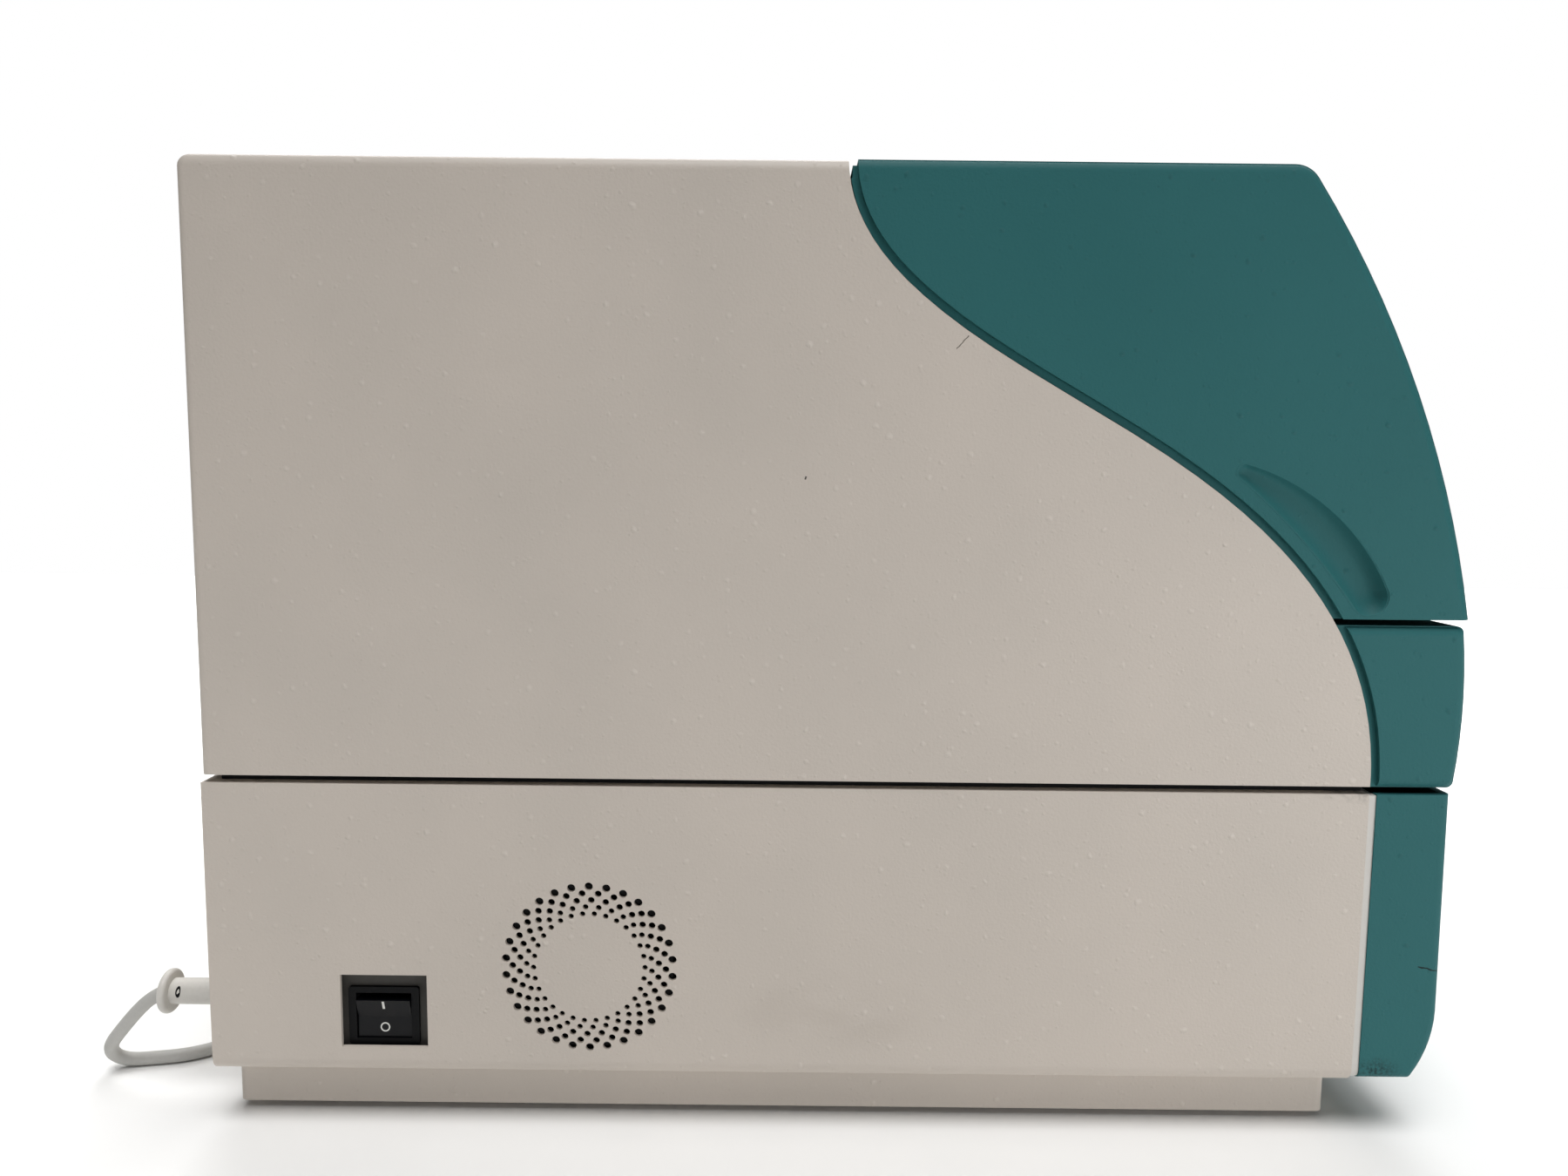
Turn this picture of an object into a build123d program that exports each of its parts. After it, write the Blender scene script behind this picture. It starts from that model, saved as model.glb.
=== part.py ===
from build123d import *
import math
import os

# A bench-top microplate reader: painted lower case and upper cover, and a moulded teal front with a
# lifting hood. Millimetres, +Z up, front towards -Y, origin on the table under the middle.

# Overall envelope
WIDTH = 420.0  # across the painted sides
REAR_Y = 221.2  # rear face of case and cover
CASE_FRONT_Y = -191.1  # front edge of the painted lower case
NOSE_REACH = 31.9  # the teal front stands this far forward of the case
FOOT_HEIGHT = 3.0
PLINTH_HEIGHT = 16.5
CASE_HEIGHT = 107.5
COVER_GAP = 2.8  # shadow gap between case and cover
COVER_HEIGHT = 212.5
SEAT = 0.3  # gap between pieces that rest on each other
PLAY = 0.5  # gap beside a piece that moves

# Sheet metal
SHEET = 1.5
CASE_BEND = 5.5
COVER_BEND = 4.3
REAR_BEND = 3.0
FLANGE = 12.0
PLINTH_SIDE_INSET = 10.0
PLINTH_END_INSET = 4.0
PLINTH_CORNER = 3.0
FOOT_RADIUS = 12.0
FOOT_INSET = 28.0
FRONT_PLATE = 2.7
SCREW_HEAD_RADIUS = 3.4
SCREW_HEAD_HEIGHT = 1.8

# The S-shaped edge of the cover. The upper points are measured forward of its top end and below the
# cover's top, the lower ones behind the case's front edge and above the cover's bottom.
S_TOP_Y = -4.1
S_UPPER = ((1.0, 9.6), (6.9, 23.7), (26.1, 44.9), (57.0, 66.2))
S_LOWER = ((80.5, 117.5), (40.8, 88.1), (15.9, 58.2), (3.1, 27.6), (0.5, 12.1))

# Moulded teal front
WALL = 3.0
GROOVE_WIDTH = 2.6
GROOVE_DEPTH = 2.0
TOP_LIP_GAP = 1.3
BAND_HEIGHT = 57.6
BAND_GAP = 2.3  # shadow gap above and below the band
BAND_BULGE = 1.9
HOOD_ARC_RADIUS = 379.0
HOOD_TOP_SETBACK = 64.2  # the flat top ends this far behind the nose
HOOD_BROW_RADIUS = 10.0
FASCIA_CURL_RADIUS = 45.0
FASCIA_CURL_HEIGHT = 26.0
FASCIA_SETBACK = 1.7
FASCIA_LIFT = 1.5  # the fascia's underside is this far above the case's
EDGE_ROUND = 3.5
GRIP_DEPTH = 4.5
GRIP_PAD = 2.5

# Hood hinge
HINGE_FORWARD = 11.9  # the axis is this far forward of the S edge's top end
HINGE_BELOW = 6.3  # and this far below the cover's top
HINGE_PIN_RADIUS = 1.5
HINGE_LUG_RADIUS = 3.2
HINGE_LUG_WIDTH = 4.5
RUNNING_FIT = 0.05

# Inner frame
CHEEK_X = 204.5  # outer face of the side cheeks
CHEEK = 3.0
CHEEK_INSET = 4.0
CHEEK_REAR_Y = 150.0
LINER_INSET = 6.0
BAY_REAR_Y = -105.0
BRIDGE_Z = 205.0
BRIDGE_THICK = 3.0
BRIDGE_FRONT_Y = -95.0

# Plate transport
PLATE_LENGTH = 127.8
PLATE_WIDTH = 85.5
NEST_PLAY = 0.7
TRAY_RIM = 3.5
TRAY_FLOOR = 2.0
TRAY_BOTTOM_Z = 141.0
TRAY_HEIGHT = 7.0
READ_Y = -45.0  # the measuring head and the middle of the plate at rest
TRAVEL_OUT = 235.0
TRAVEL_ACROSS = 49.5
ROD_Z = 151.0
Y_ROD_X = 140.0
Y_ROD_RADIUS = 4.0
Y_ROD_FRONT = -187.0
Y_ROD_REAR = 147.0
X_ROD_RADIUS = 3.0
X_ROD_SPREAD = 5.0
X_ROD_Y = 47.0
BEAM_Y = 63.0
BEAM_THICK = 12.0
BEAM_HEIGHT = 20.0
BEARING_LENGTH = 35.0
BEARING_WIDTH = 22.0
RAIL_BLOCK = 10.0
SLIDER_HALF = 25.0
SLIDER_DEPTH = 18.0
X_ROD_HALF = 126.0
X_ROD_EAR = 7.0
PULLEY_RADIUS = 6.0
BELT_THICK = 1.2
BELT_WIDTH = 6.0
Y_BELT_X = 165.0
Y_PULLEY_Y = 171.0
Y_IDLER_Y = -184.0
X_PULLEY_X = 105.0
SHAFT_RADIUS = 2.5
MOTOR_WIDE = 42.0
MOTOR_LONG = 38.0
SMALL_MOTOR_WIDE = 35.0
SMALL_MOTOR_LONG = 28.0

# Door in the front band
SLOT_BOTTOM_Z = 137.0
SLOT_HEIGHT = 31.0
SLOT_SIDE = 5.5  # free width beside the tray at either end of its travel
SHUTTER_THICK = 2.5
SHUTTER_LAP = 2.3
SHUTTER_RATIO = 0.29  # the shutter drops this far for each unit the carriage runs out
SHUTTER_BEHIND = 7.5  # front face of the shutter behind the nose
GUIDE_LAP = 4.0

# Optics
HEAD_WIDE = 60.0
HEAD_DEEP = 60.0
HEAD_BOTTOM_Z = 164.0
WHEEL_X = 95.0
WHEEL_RADIUS = 38.0
WHEEL_THICK = 6.0
WHEEL_RISE = 44.0  # axis above the bridge
WHEEL_Y = -5.0
FILTER_COUNT = 8
FILTER_RADIUS = 6.3
FILTER_CIRCLE = 28.0
STAND_THICK = 3.0
STAND_WIDE = 90.0
STAND_HEIGHT = 88.0
LAMP_WIDE = 52.0
LAMP_LONG = 76.0
LAMP_HIGH = 60.0
DETECTOR_RADIUS = 13.5
DETECTOR_LONG = 92.0
GUIDE_TUBE_RADIUS = 4.0
SENSOR_WIDE = 40.0
SENSOR_GAP = 2.0

# Injector bay
PUMP_X = (-150.0, -95.0)
PUMP_WIDE = 44.0
PUMP_DEEP = 46.0
PUMP_HIGH = 94.0
SYRINGE_RADIUS = 6.0
SYRINGE_BORE = 4.6
SYRINGE_LONG = 44.0
PLUNGER_HEAD_RADIUS = 4.4
PLUNGER_ROD_RADIUS = 1.8
RACK_WIDE = 130.0
RACK_DEEP = 44.0
RACK_HIGH = 36.0
RACK_X = 90.0
WELL_RADIUS = 14.0
WELL_DEPTH = 30.0
WELL_PITCH = 38.0

# Cooling, power and switch
FAN_Y = 84.6
FAN_Z = 60.5
FAN_SIZE = 60.0
FAN_DEEP = 25.0
FAN_BORE = 28.8
FAN_HUB = 15.0
FAN_BLADES = 7
VENT_RINGS = ((30.0, 1.5, 0.0), (27.5, 1.25, 5.0), (25.0, 1.2, 10.0), (22.5, 1.05, 15.0), (20.0, 1.0, 18.5))
VENT_HOLES = 30
SWITCH_Y = 158.6
SWITCH_Z = 43.3
SWITCH_CUT_WIDE = 31.1
SWITCH_CUT_HIGH = 27.1
SWITCH_SINK = 4.0
BEZEL_WIDE = 25.5
BEZEL_HIGH = 21.7
BEZEL_DROP = 3.1  # the bezel sits this far below the middle of the cut-out
BEZEL_STAND = 1.2
ROCKER_WIDE = 19.4
ROCKER_HIGH = 17.2
ROCKER_TILT = 8.0
ROCKER_AXIS_DEPTH = 6.0
INLET_X = -182.0
INLET_Z = 36.4
WELL_WIDE = 37.0
WELL_HIGH = 29.0
INLET_SINK = 24.0
PSU_LONG = 110.0
PSU_WIDE = 100.0
PSU_HIGH = 45.0
BOARD_THICK = 1.6
STANDOFF = 6.0

INLET_BODY_WIDE = 28.4
INLET_BODY_HIGH = 20.4
INLET_BODY_DEEP = 20.0
NOSE_LONG = 15.0
PORT_X = 60.0
PORT_Z = 48.0
PORT_WIDE = 31.0
PORT_HIGH = 12.5
LOUVRE_X = 130.0
LOUVRE_Z = 40.0
LOUVRE_LONG = 60.0
LOUVRE_HIGH = 3.0
LOUVRE_PITCH = 7.0
LOUVRE_ROWS = 8
SWITCH_BODY_DEEP = 22.0
BEZEL_ASIDE = 1.1
ROCKER_REACH = 7.4
PSU_Y = -70.0
BOARD_BOX = (10.0, 190.0, -150.0, 90.0)
BOARD_PIECES = (
    (12, 14, 40, 40, 4), (70, 20, 28, 28, 3), (120, 16, 44, 12, 11), (20, 80, 60, 22, 14),
    (100, 70, 18, 18, 22), (124, 70, 18, 18, 22), (30, 130, 30, 30, 3), (84, 120, 70, 14, 9),
    (16, 190, 24, 36, 12), (60, 196, 90, 10, 11),
)

# Front panel key and lamps
LED_RADIUS = 2.4
LED_X = -160.0
LED_PITCH = 12.0
LED_COUNT = 3
KEY_X = 152.0
KEY_Z = 100.0
KEY_WIDE = 22.0
KEY_HIGH = 11.0
KEY_TRAVEL = 1.5
DECK_INSET = 5.0
FILTER_MOTOR = 28.0
GUIDE_BEND = 14.0

# Mains lead
NECK_RADIUS = 4.85
COLLAR_RADIUS = 8.3
COLLAR_LONG = 3.0
NECK_END_Y = 250.0
CORD_RADIUS = 2.6
COIL_X = -20.0
COIL_Y = 266.0
COIL_MID_RADIUS = 30.0
COIL_ROWS = 3
PLUG_RADIUS = 18.5
PLUG_LONG = 26.0
RELIEF_LONG = 14.0
PIN_RADIUS = 2.4
PIN_LONG = 19.0
PIN_SPREAD = 9.5

# Levels and planes that follow from the sizes above
SIDE_X = WIDTH / 2
NOSE_Y = CASE_FRONT_Y - NOSE_REACH
CASE_BOTTOM = FOOT_HEIGHT + PLINTH_HEIGHT
CASE_FLOOR = CASE_BOTTOM + SHEET
CASE_TOP = CASE_BOTTOM + CASE_HEIGHT
COVER_BOTTOM = CASE_TOP + COVER_GAP
COVER_TOP = COVER_BOTTOM + COVER_HEIGHT
DECK_TOP = COVER_BOTTOM - SEAT
BAND_BOTTOM = CASE_TOP + BAND_GAP
BAND_TOP = BAND_BOTTOM + BAND_HEIGHT
HOOD_BOTTOM = BAND_TOP + BAND_GAP
HINGE_Y = S_TOP_Y - HINGE_FORWARD
HINGE_Z = COVER_TOP - HINGE_BELOW
FRONT_PLATE_Y = CASE_FRONT_Y - FRONT_PLATE
CHEEK_IN = CHEEK_X - CHEEK
TRAY_HALF_X = PLATE_LENGTH / 2 + NEST_PLAY + TRAY_RIM
TRAY_HALF_Y = PLATE_WIDTH / 2 + NEST_PLAY + TRAY_RIM
SLOT_HALF = TRAY_HALF_X + TRAVEL_ACROSS + SLOT_SIDE
SHUTTER_Y = NOSE_Y + SHUTTER_BEHIND
SHUTTER_HALF = SLOT_HALF + GUIDE_LAP + GUIDE_LAP - SEAT
BRIDGE_TOP = BRIDGE_Z + BRIDGE_THICK
WHEEL_Z = BRIDGE_TOP + WHEEL_RISE
BRACKET_X = -SIDE_X + SWITCH_SINK
BEZEL_Z = SWITCH_Z - BEZEL_DROP
CASE_WIDE_IN = SIDE_X - SHEET
COIL_OUTER = COIL_MID_RADIUS + (COIL_ROWS - 1) * CORD_RADIUS

# Route of the lead's middle line: from the collar down to the table, behind the case to the coil,
# and from the coil's top to the plug
LEAD_RUN = (
    (-182, 253, 36.4), (-182, 258.5, 34), (-181, 265.5, 27.5), (-179.5, 272.5, 19.5), (-177, 279.3, 11.5),
    (-174.5, 279.8, 6), (-172, 275, 2.6), (-170.5, 266, 2.6), (-168, 254, 2.6), (-161, 243.5, 2.6),
    (-147, 237, 2.6), (-126, 233, 2.6), (-98, 231.5, 2.6), (-66, 231, 2.6), (-34, 230.8, 2.6),
)
LEAD_TAIL = ((-20, 241.2, 18), (0, 241.3, 18.2), (20, 242.3, 18.4), (38, 244.5, 18.5), (56, 246, 18.5))

PARTS = {}


def block(x0, x1, y0, y1, z0, z1):
    """A box between two corners."""
    return Pos((x0 + x1) / 2, (y0 + y1) / 2, (z0 + z1) / 2) * Box(x1 - x0, y1 - y0, z1 - z0)


def rod_x(radius, x0, x1, y, z):
    """A round bar along X."""
    return Pos((x0 + x1) / 2, y, z) * Rot(0, 90, 0) * Cylinder(radius, x1 - x0)


def rod_y(radius, y0, y1, x, z):
    """A round bar along Y."""
    return Pos(x, (y0 + y1) / 2, z) * Rot(90, 0, 0) * Cylinder(radius, y1 - y0)


def rod_z(radius, z0, z1, x, y):
    """A round bar along Z."""
    return Pos(x, y, (z0 + z1) / 2) * Cylinder(radius, z1 - z0)


def slab(face, x0, x1):
    """A face in the YZ plane at x = 0, thickened from x0 to x1."""
    return extrude(Pos(x0, 0, 0) * face, amount=x1 - x0, dir=(1, 0, 0))


def both_sides(shape):
    """A shape on the +X side and its mirror image."""
    return [shape, mirror(shape, about=Plane.YZ)]


def keep(name, *shapes):
    """Stores the solids of one node."""
    solids = []
    for shape in shapes:
        solids.extend(shape.solids())
    PARTS[name] = Compound(children=solids) if len(solids) > 1 else solids[0]
    return PARTS[name]


def s_curve(shift):
    """The cover's S edge, moved towards the front by shift at right angles to itself."""
    points = [(S_TOP_Y, COVER_TOP)]
    points += [(S_TOP_Y - forward, COVER_TOP - below) for forward, below in S_UPPER]
    points += [(CASE_FRONT_Y + behind, COVER_BOTTOM + above) for behind, above in S_LOWER]
    points += [(CASE_FRONT_Y, COVER_BOTTOM)]
    edge = Spline(*[(0, y, z) for y, z in points])
    if shift == 0:
        return edge
    moved = []
    steps = 24
    for step in range(steps + 1):
        point = edge.position_at(step / steps)
        along = edge.tangent_at(step / steps)
        moved.append((0, point.Y + shift * along.Z, point.Z - shift * along.Y))
    return Spline(*moved)


def side_of_s(shift, front):
    """Everything in the YZ plane before or behind the moved S edge, between the cover's levels."""
    edge = s_curve(shift)
    top, bottom = edge.position_at(0), edge.position_at(1)
    far = NOSE_Y - WALL if front else REAR_Y + WALL
    sign = -1 if front else 1
    high, low = COVER_TOP + WALL, CASE_TOP
    outline = [
        edge,
        Line(bottom, (0, bottom.Y, low)),
        Line((0, bottom.Y, low), (0, far + sign, low)),
        Line((0, far + sign, low), (0, far + sign, high)),
        Line((0, far + sign, high), (0, top.Y, high)),
        Line((0, top.Y, high), top),
    ]
    return make_face(Wire(outline))


def front_outline(inset):
    """The hood's side view, shrunk by inset: flat top, brow and long front arc."""
    top = COVER_TOP - inset
    brow = (0, NOSE_Y + HOOD_TOP_SETBACK + inset * 0.5, top)
    foot = (0, NOSE_Y + 0.5 + inset, HOOD_BOTTOM)
    back = REAR_Y
    chord_y, chord_z = brow[1] - foot[1], brow[2] - foot[2]
    half = math.hypot(chord_y, chord_z) / 2
    radius = HOOD_ARC_RADIUS - inset
    sag = radius - math.sqrt(radius**2 - half**2)
    crown_y = (brow[1] + foot[1]) / 2 - sag * chord_z / (2 * half)
    crown_z = (brow[2] + foot[2]) / 2 + sag * chord_y / (2 * half)
    front = ThreePointArc(foot, (0, crown_y, crown_z), brow)
    face = make_face(
        Wire([front, Line(brow, (0, back, top)), Line((0, back, top), (0, back, HOOD_BOTTOM)),
              Line((0, back, HOOD_BOTTOM), foot)])
    )
    corner = min(face.vertices(), key=lambda v: (Vector(*brow) - Vector(v.X, v.Y, v.Z)).length)
    return fillet(corner, max(HOOD_BROW_RADIUS - inset, 2.0))


def band_outline(inset):
    """The middle block's side view, shrunk by inset in front and on top only."""
    low, high = BAND_BOTTOM, BAND_TOP - inset
    ends = NOSE_Y + BAND_BULGE + inset
    arc = ThreePointArc((0, ends, low), (0, NOSE_Y + inset, (low + BAND_TOP) / 2), (0, ends, high))
    face = make_face(
        Wire([arc, Line((0, ends, high), (0, REAR_Y, high)), Line((0, REAR_Y, high), (0, REAR_Y, low)),
              Line((0, REAR_Y, low), (0, ends, low))])
    )
    corners = [v for v in face.vertices() if v.Y < ends + 1]
    return fillet(corners, EDGE_ROUND - 1) if inset == 0 else face


def fascia_outline(inset):
    """The lower block's side view: upright front that curls in under the bottom."""
    low = CASE_BOTTOM + FASCIA_LIFT + inset
    front = NOSE_Y + FASCIA_SETBACK + inset
    curl = FASCIA_CURL_RADIUS - inset
    start = CASE_BOTTOM + FASCIA_LIFT + FASCIA_CURL_HEIGHT
    run_in = curl - math.sqrt(curl**2 - (start - low) ** 2)
    lean = front + 0.9
    middle_z = (start + low) / 2
    middle_y = front + curl - math.sqrt(curl**2 - (start - middle_z) ** 2)
    face = make_face(
        Wire([Line((0, lean, CASE_TOP), (0, front, start)),
              ThreePointArc((0, front, start), (0, middle_y, middle_z), (0, front + run_in, low)),
              Line((0, front + run_in, low), (0, FRONT_PLATE_Y, low)),
              Line((0, FRONT_PLATE_Y, low), (0, FRONT_PLATE_Y, CASE_TOP)),
              Line((0, FRONT_PLATE_Y, CASE_TOP), (0, lean, CASE_TOP))])
    )
    if inset:
        return face
    corner = min(face.vertices(), key=lambda v: abs(v.Z - low) + abs(v.Y - front - run_in))
    return fillet(corner, EDGE_ROUND - 2)


def rounded_block(face, half, radius):
    """A side view extruded across the width, with its two side outlines rounded."""
    body = slab(face, -half, half)
    if radius:
        low_z = body.bounding_box().min.Z
        edges = []
        for edge in body.edges():
            middle = edge.position_at(0.5)
            on_side = abs(abs(middle.X) - half) < 0.01
            if on_side and middle.Y < REAR_Y - 1 and middle.Z > low_z + 0.01:
                edges.append(edge)
        body = fillet(edges, radius)
    return body


def base():
    """Rubber feet and the folded tray that the case stands on."""
    foot_x = SIDE_X - PLINTH_SIDE_INSET - FOOT_INSET
    front = CASE_FRONT_Y + PLINTH_END_INSET
    rear = REAR_Y - PLINTH_END_INSET
    feet = [
        rod_z(FOOT_RADIUS, 0, FOOT_HEIGHT, x, y)
        for x in (-foot_x, foot_x)
        for y in (front + FOOT_INSET, rear - FOOT_INSET)
    ]
    keep("feet", *feet)
    half = SIDE_X - PLINTH_SIDE_INSET
    tray = block(-half, half, front, rear, FOOT_HEIGHT, CASE_BOTTOM)
    tray = fillet(tray.edges().filter_by(Axis.Z), PLINTH_CORNER)
    hollow = block(-half + SHEET, half - SHEET, front + SHEET, rear - SHEET, FOOT_HEIGHT + SHEET, CASE_BOTTOM)
    hollow = fillet(hollow.edges().filter_by(Axis.Z), PLINTH_CORNER - SHEET)
    keep("base_tray", tray - hollow)


def vent_holes():
    """Five rings of round holes, each ring turned a little further than the one outside it."""
    holes = []
    for ring_radius, hole_radius, turn in VENT_RINGS:
        for number in range(VENT_HOLES):
            angle = math.radians(turn + 360 / VENT_HOLES * number)
            y = FAN_Y + ring_radius * math.sin(angle)
            z = FAN_Z + ring_radius * math.cos(angle)
            holes.append(rod_x(hole_radius, -SIDE_X - 1, -SIDE_X + SHEET + 1, y, z))
    return holes


def lower_case():
    """Folded floor and sides with inward flanges on top, switch opening and fan vent."""
    outer = block(-SIDE_X, SIDE_X, CASE_FRONT_Y, REAR_Y, CASE_BOTTOM, CASE_TOP)
    low = [e for e in outer.edges().filter_by(Axis.Y) if e.position_at(0.5).Z < CASE_FLOOR]
    outer = fillet(low, CASE_BEND)
    inner = block(-SIDE_X + SHEET, SIDE_X - SHEET, CASE_FRONT_Y - 1, REAR_Y + 1, CASE_FLOOR, CASE_TOP - SHEET)
    low = [e for e in inner.edges().filter_by(Axis.Y) if e.position_at(0.5).Z < CASE_FLOOR + 1]
    inner = fillet(low, CASE_BEND - SHEET)
    mouth_half = SIDE_X - FLANGE
    mouth = block(-mouth_half, mouth_half, CASE_FRONT_Y - 1, REAR_Y + 1, CASE_TOP - 2 * SHEET, CASE_TOP + 1)
    window = block(
        -SIDE_X - 1, -SIDE_X + SHEET + 1, SWITCH_Y - SWITCH_CUT_WIDE / 2, SWITCH_Y + SWITCH_CUT_WIDE / 2,
        SWITCH_Z - SWITCH_CUT_HIGH / 2, SWITCH_Z + SWITCH_CUT_HIGH / 2,
    )
    keep("lower_case", outer - inner - mouth - window - vent_holes())


def upper_cover():
    """Top, rear wall and two sides cut to the S edge, folded from one sheet, with inward hems."""
    side = side_of_s(0, False)
    outer = slab(side, -SIDE_X, SIDE_X)
    body = block(-SIDE_X, SIDE_X, NOSE_Y - 9, REAR_Y, COVER_BOTTOM, COVER_TOP)
    rear = [e for e in body.edges().filter_by(Axis.Z) if e.position_at(0.5).Y > 0]
    body = fillet(rear, REAR_BEND)
    top = [e for e in body.edges() if e.position_at(0.5).Z > COVER_TOP - 0.1 and e.position_at(0.5).Y > NOSE_Y]
    body = fillet(top, COVER_BEND)
    room = block(-SIDE_X + SHEET, SIDE_X - SHEET, NOSE_Y - 20, REAR_Y - SHEET, CASE_BOTTOM, COVER_TOP - SHEET)
    rear = [e for e in room.edges().filter_by(Axis.Z) if e.position_at(0.5).Y > 0]
    room = fillet(rear, REAR_BEND - SHEET)
    lid_z = COVER_TOP - SHEET - 0.1
    top = [e for e in room.edges() if e.position_at(0.5).Z > lid_z and e.position_at(0.5).Y > NOSE_Y - 10]
    room = fillet(top, COVER_BEND - SHEET)
    hem_in = CHEEK_X + PLAY
    hem = block(-SIDE_X + SHEET, -hem_in, CASE_FRONT_Y + FLANGE, REAR_Y - SHEET, COVER_BOTTOM, COVER_BOTTOM + SHEET)
    keep("upper_cover", (body & outer) - room + both_sides(hem))


def rear_panel():
    """Rear closing plate with the inlet well, a serial port opening and a louvred outlet."""
    plate = block(-SIDE_X + SHEET, SIDE_X - SHEET, REAR_Y - SHEET, REAR_Y, CASE_FLOOR + CASE_BEND, CASE_TOP - SHEET)
    foot_half = SIDE_X - CASE_BEND
    plate += block(-foot_half, foot_half, REAR_Y - SHEET, REAR_Y, CASE_FLOOR, CASE_FLOOR + CASE_BEND)
    well_y = REAR_Y - INLET_SINK
    cut = block(
        INLET_X - WELL_WIDE / 2, INLET_X + WELL_WIDE / 2, well_y, REAR_Y + 1,
        INLET_Z - WELL_HIGH / 2, INLET_Z + WELL_HIGH / 2,
    )
    shell = block(
        INLET_X - WELL_WIDE / 2 - SHEET, INLET_X + WELL_WIDE / 2 + SHEET, well_y - SHEET, REAR_Y,
        max(INLET_Z - WELL_HIGH / 2 - SHEET, CASE_FLOOR), INLET_Z + WELL_HIGH / 2 + SHEET,
    )
    half_w, half_h = INLET_BODY_WIDE / 2, INLET_BODY_HIGH / 2
    through = block(INLET_X - half_w, INLET_X + half_w, well_y - 9, well_y + 1, INLET_Z - half_h, INLET_Z + half_h)
    plate = plate + shell - cut - through
    port = block(
        PORT_X - PORT_WIDE / 2, PORT_X + PORT_WIDE / 2, REAR_Y - 9, REAR_Y + 1,
        PORT_Z - PORT_HIGH / 2, PORT_Z + PORT_HIGH / 2,
    )
    slots = []
    for row in range(LOUVRE_ROWS):
        z = LOUVRE_Z + row * LOUVRE_PITCH
        slots.append(block(LOUVRE_X - LOUVRE_LONG / 2, LOUVRE_X + LOUVRE_LONG / 2, REAR_Y - 9, REAR_Y + 1, z, z + LOUVRE_HIGH))
    keep("rear_panel", plate - port - slots)
    heads = []
    for x, z in rear_screw_places():
        heads.append(rod_y(SCREW_HEAD_RADIUS, REAR_Y, REAR_Y + SCREW_HEAD_HEIGHT, x, z))
    heads = [fillet(head.edges().sort_by(Axis.Y)[-1], SCREW_HEAD_HEIGHT / 2) for head in heads]
    keep("rear_screws", *heads)


def rear_screw_places():
    """Centres of the screws that hold the rear panel, as (x, z)."""
    edge = SIDE_X - SHEET - SCREW_HEAD_RADIUS - 1
    low, high = CASE_FLOOR + SCREW_HEAD_RADIUS + 1, CASE_TOP - SCREW_HEAD_RADIUS - 2 * SHEET
    return [(x, z) for x in (-edge, edge) for z in (low, high)] + [(0, low), (0, high)]


def front_shells():
    """Light chassis plate, lower fascia and the middle band with its plate slot."""
    plate = block(-SIDE_X + PLAY, SIDE_X - PLAY, FRONT_PLATE_Y, CASE_FRONT_Y, CASE_BOTTOM + FASCIA_LIFT, CASE_TOP - PLAY)
    low = [e for e in plate.edges().filter_by(Axis.Y) if e.position_at(0.5).Z < CASE_FLOOR + 1]
    keep("front_plate", fillet(low, EDGE_ROUND))

    fascia = rounded_block(fascia_outline(0), SIDE_X, 0)
    rim = [
        e for e in fascia.edges()
        if abs(abs(e.position_at(0.5).X) - SIDE_X) < 0.01
        and e.position_at(0.5).Y < FRONT_PLATE_Y - 2 * EDGE_ROUND
        and e.position_at(0.5).Z < CASE_TOP - 0.1
        and e.position_at(0.5).Z > CASE_BOTTOM + 2 * FASCIA_LIFT
    ]
    fascia = fillet(rim, EDGE_ROUND)
    hollow = slab(fascia_outline(WALL), -SIDE_X + WALL, SIDE_X - WALL)
    hollow += block(-SIDE_X + WALL, SIDE_X - WALL, FRONT_PLATE_Y - 16, FRONT_PLATE_Y + 1, CASE_BOTTOM + FASCIA_LIFT + WALL, CASE_TOP + 1)
    holes = [rod_y(LED_RADIUS + RUNNING_FIT, NOSE_Y - 5, NOSE_Y + 15, x, KEY_Z) for x in led_places()]
    key_hole = block(
        KEY_X - KEY_WIDE / 2 - SEAT, KEY_X + KEY_WIDE / 2 + SEAT, NOSE_Y - 5, NOSE_Y + 15,
        KEY_Z - KEY_HIGH / 2 - SEAT, KEY_Z + KEY_HIGH / 2 + SEAT,
    )
    keep("lower_fascia", fascia - hollow - holes - key_hole)

    slot = block(-SLOT_HALF, SLOT_HALF, NOSE_Y - 5, SHUTTER_Y, SLOT_BOTTOM_Z, SLOT_BOTTOM_Z + SLOT_HEIGHT)
    band = front_piece(band_outline(0), band_outline(WALL), BAND_BOTTOM, BAND_TOP)
    keep("front_band", band - slot)


def front_piece(outer_face, inner_face, low, high):
    """A teal shell between two levels: raised face, groove beside the S edge, hollow inside."""
    raised = rounded_block(outer_face, SIDE_X, EDGE_ROUND)
    raised &= slab(side_of_s(GROOVE_WIDTH + PLAY, True), -SIDE_X, SIDE_X)
    half = SIDE_X - GROOVE_DEPTH
    lip = slab(outer_face, -half, half) & slab(side_of_s(PLAY, True), -half, half)
    lip -= block(-half, half, S_TOP_Y - GROOVE_WIDTH - PLAY, REAR_Y, COVER_TOP - GROOVE_DEPTH, COVER_TOP + 1)
    lip -= block(-half, half, S_TOP_Y - TOP_LIP_GAP, REAR_Y, COVER_TOP - 2 * WALL, COVER_TOP + 1)
    body = raised + lip
    hollow_half = SIDE_X - GROOVE_DEPTH - WALL
    hollow = slab(inner_face, -hollow_half, hollow_half)
    front_room = slab(inner_face, -SIDE_X + WALL, SIDE_X - WALL)
    front_room &= slab(side_of_s(GROOVE_WIDTH + PLAY + WALL, True), -SIDE_X, SIDE_X)
    body = body - hollow - front_room
    return body & block(-SIDE_X, SIDE_X, NOSE_Y - 1, REAR_Y, low, high)


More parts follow.
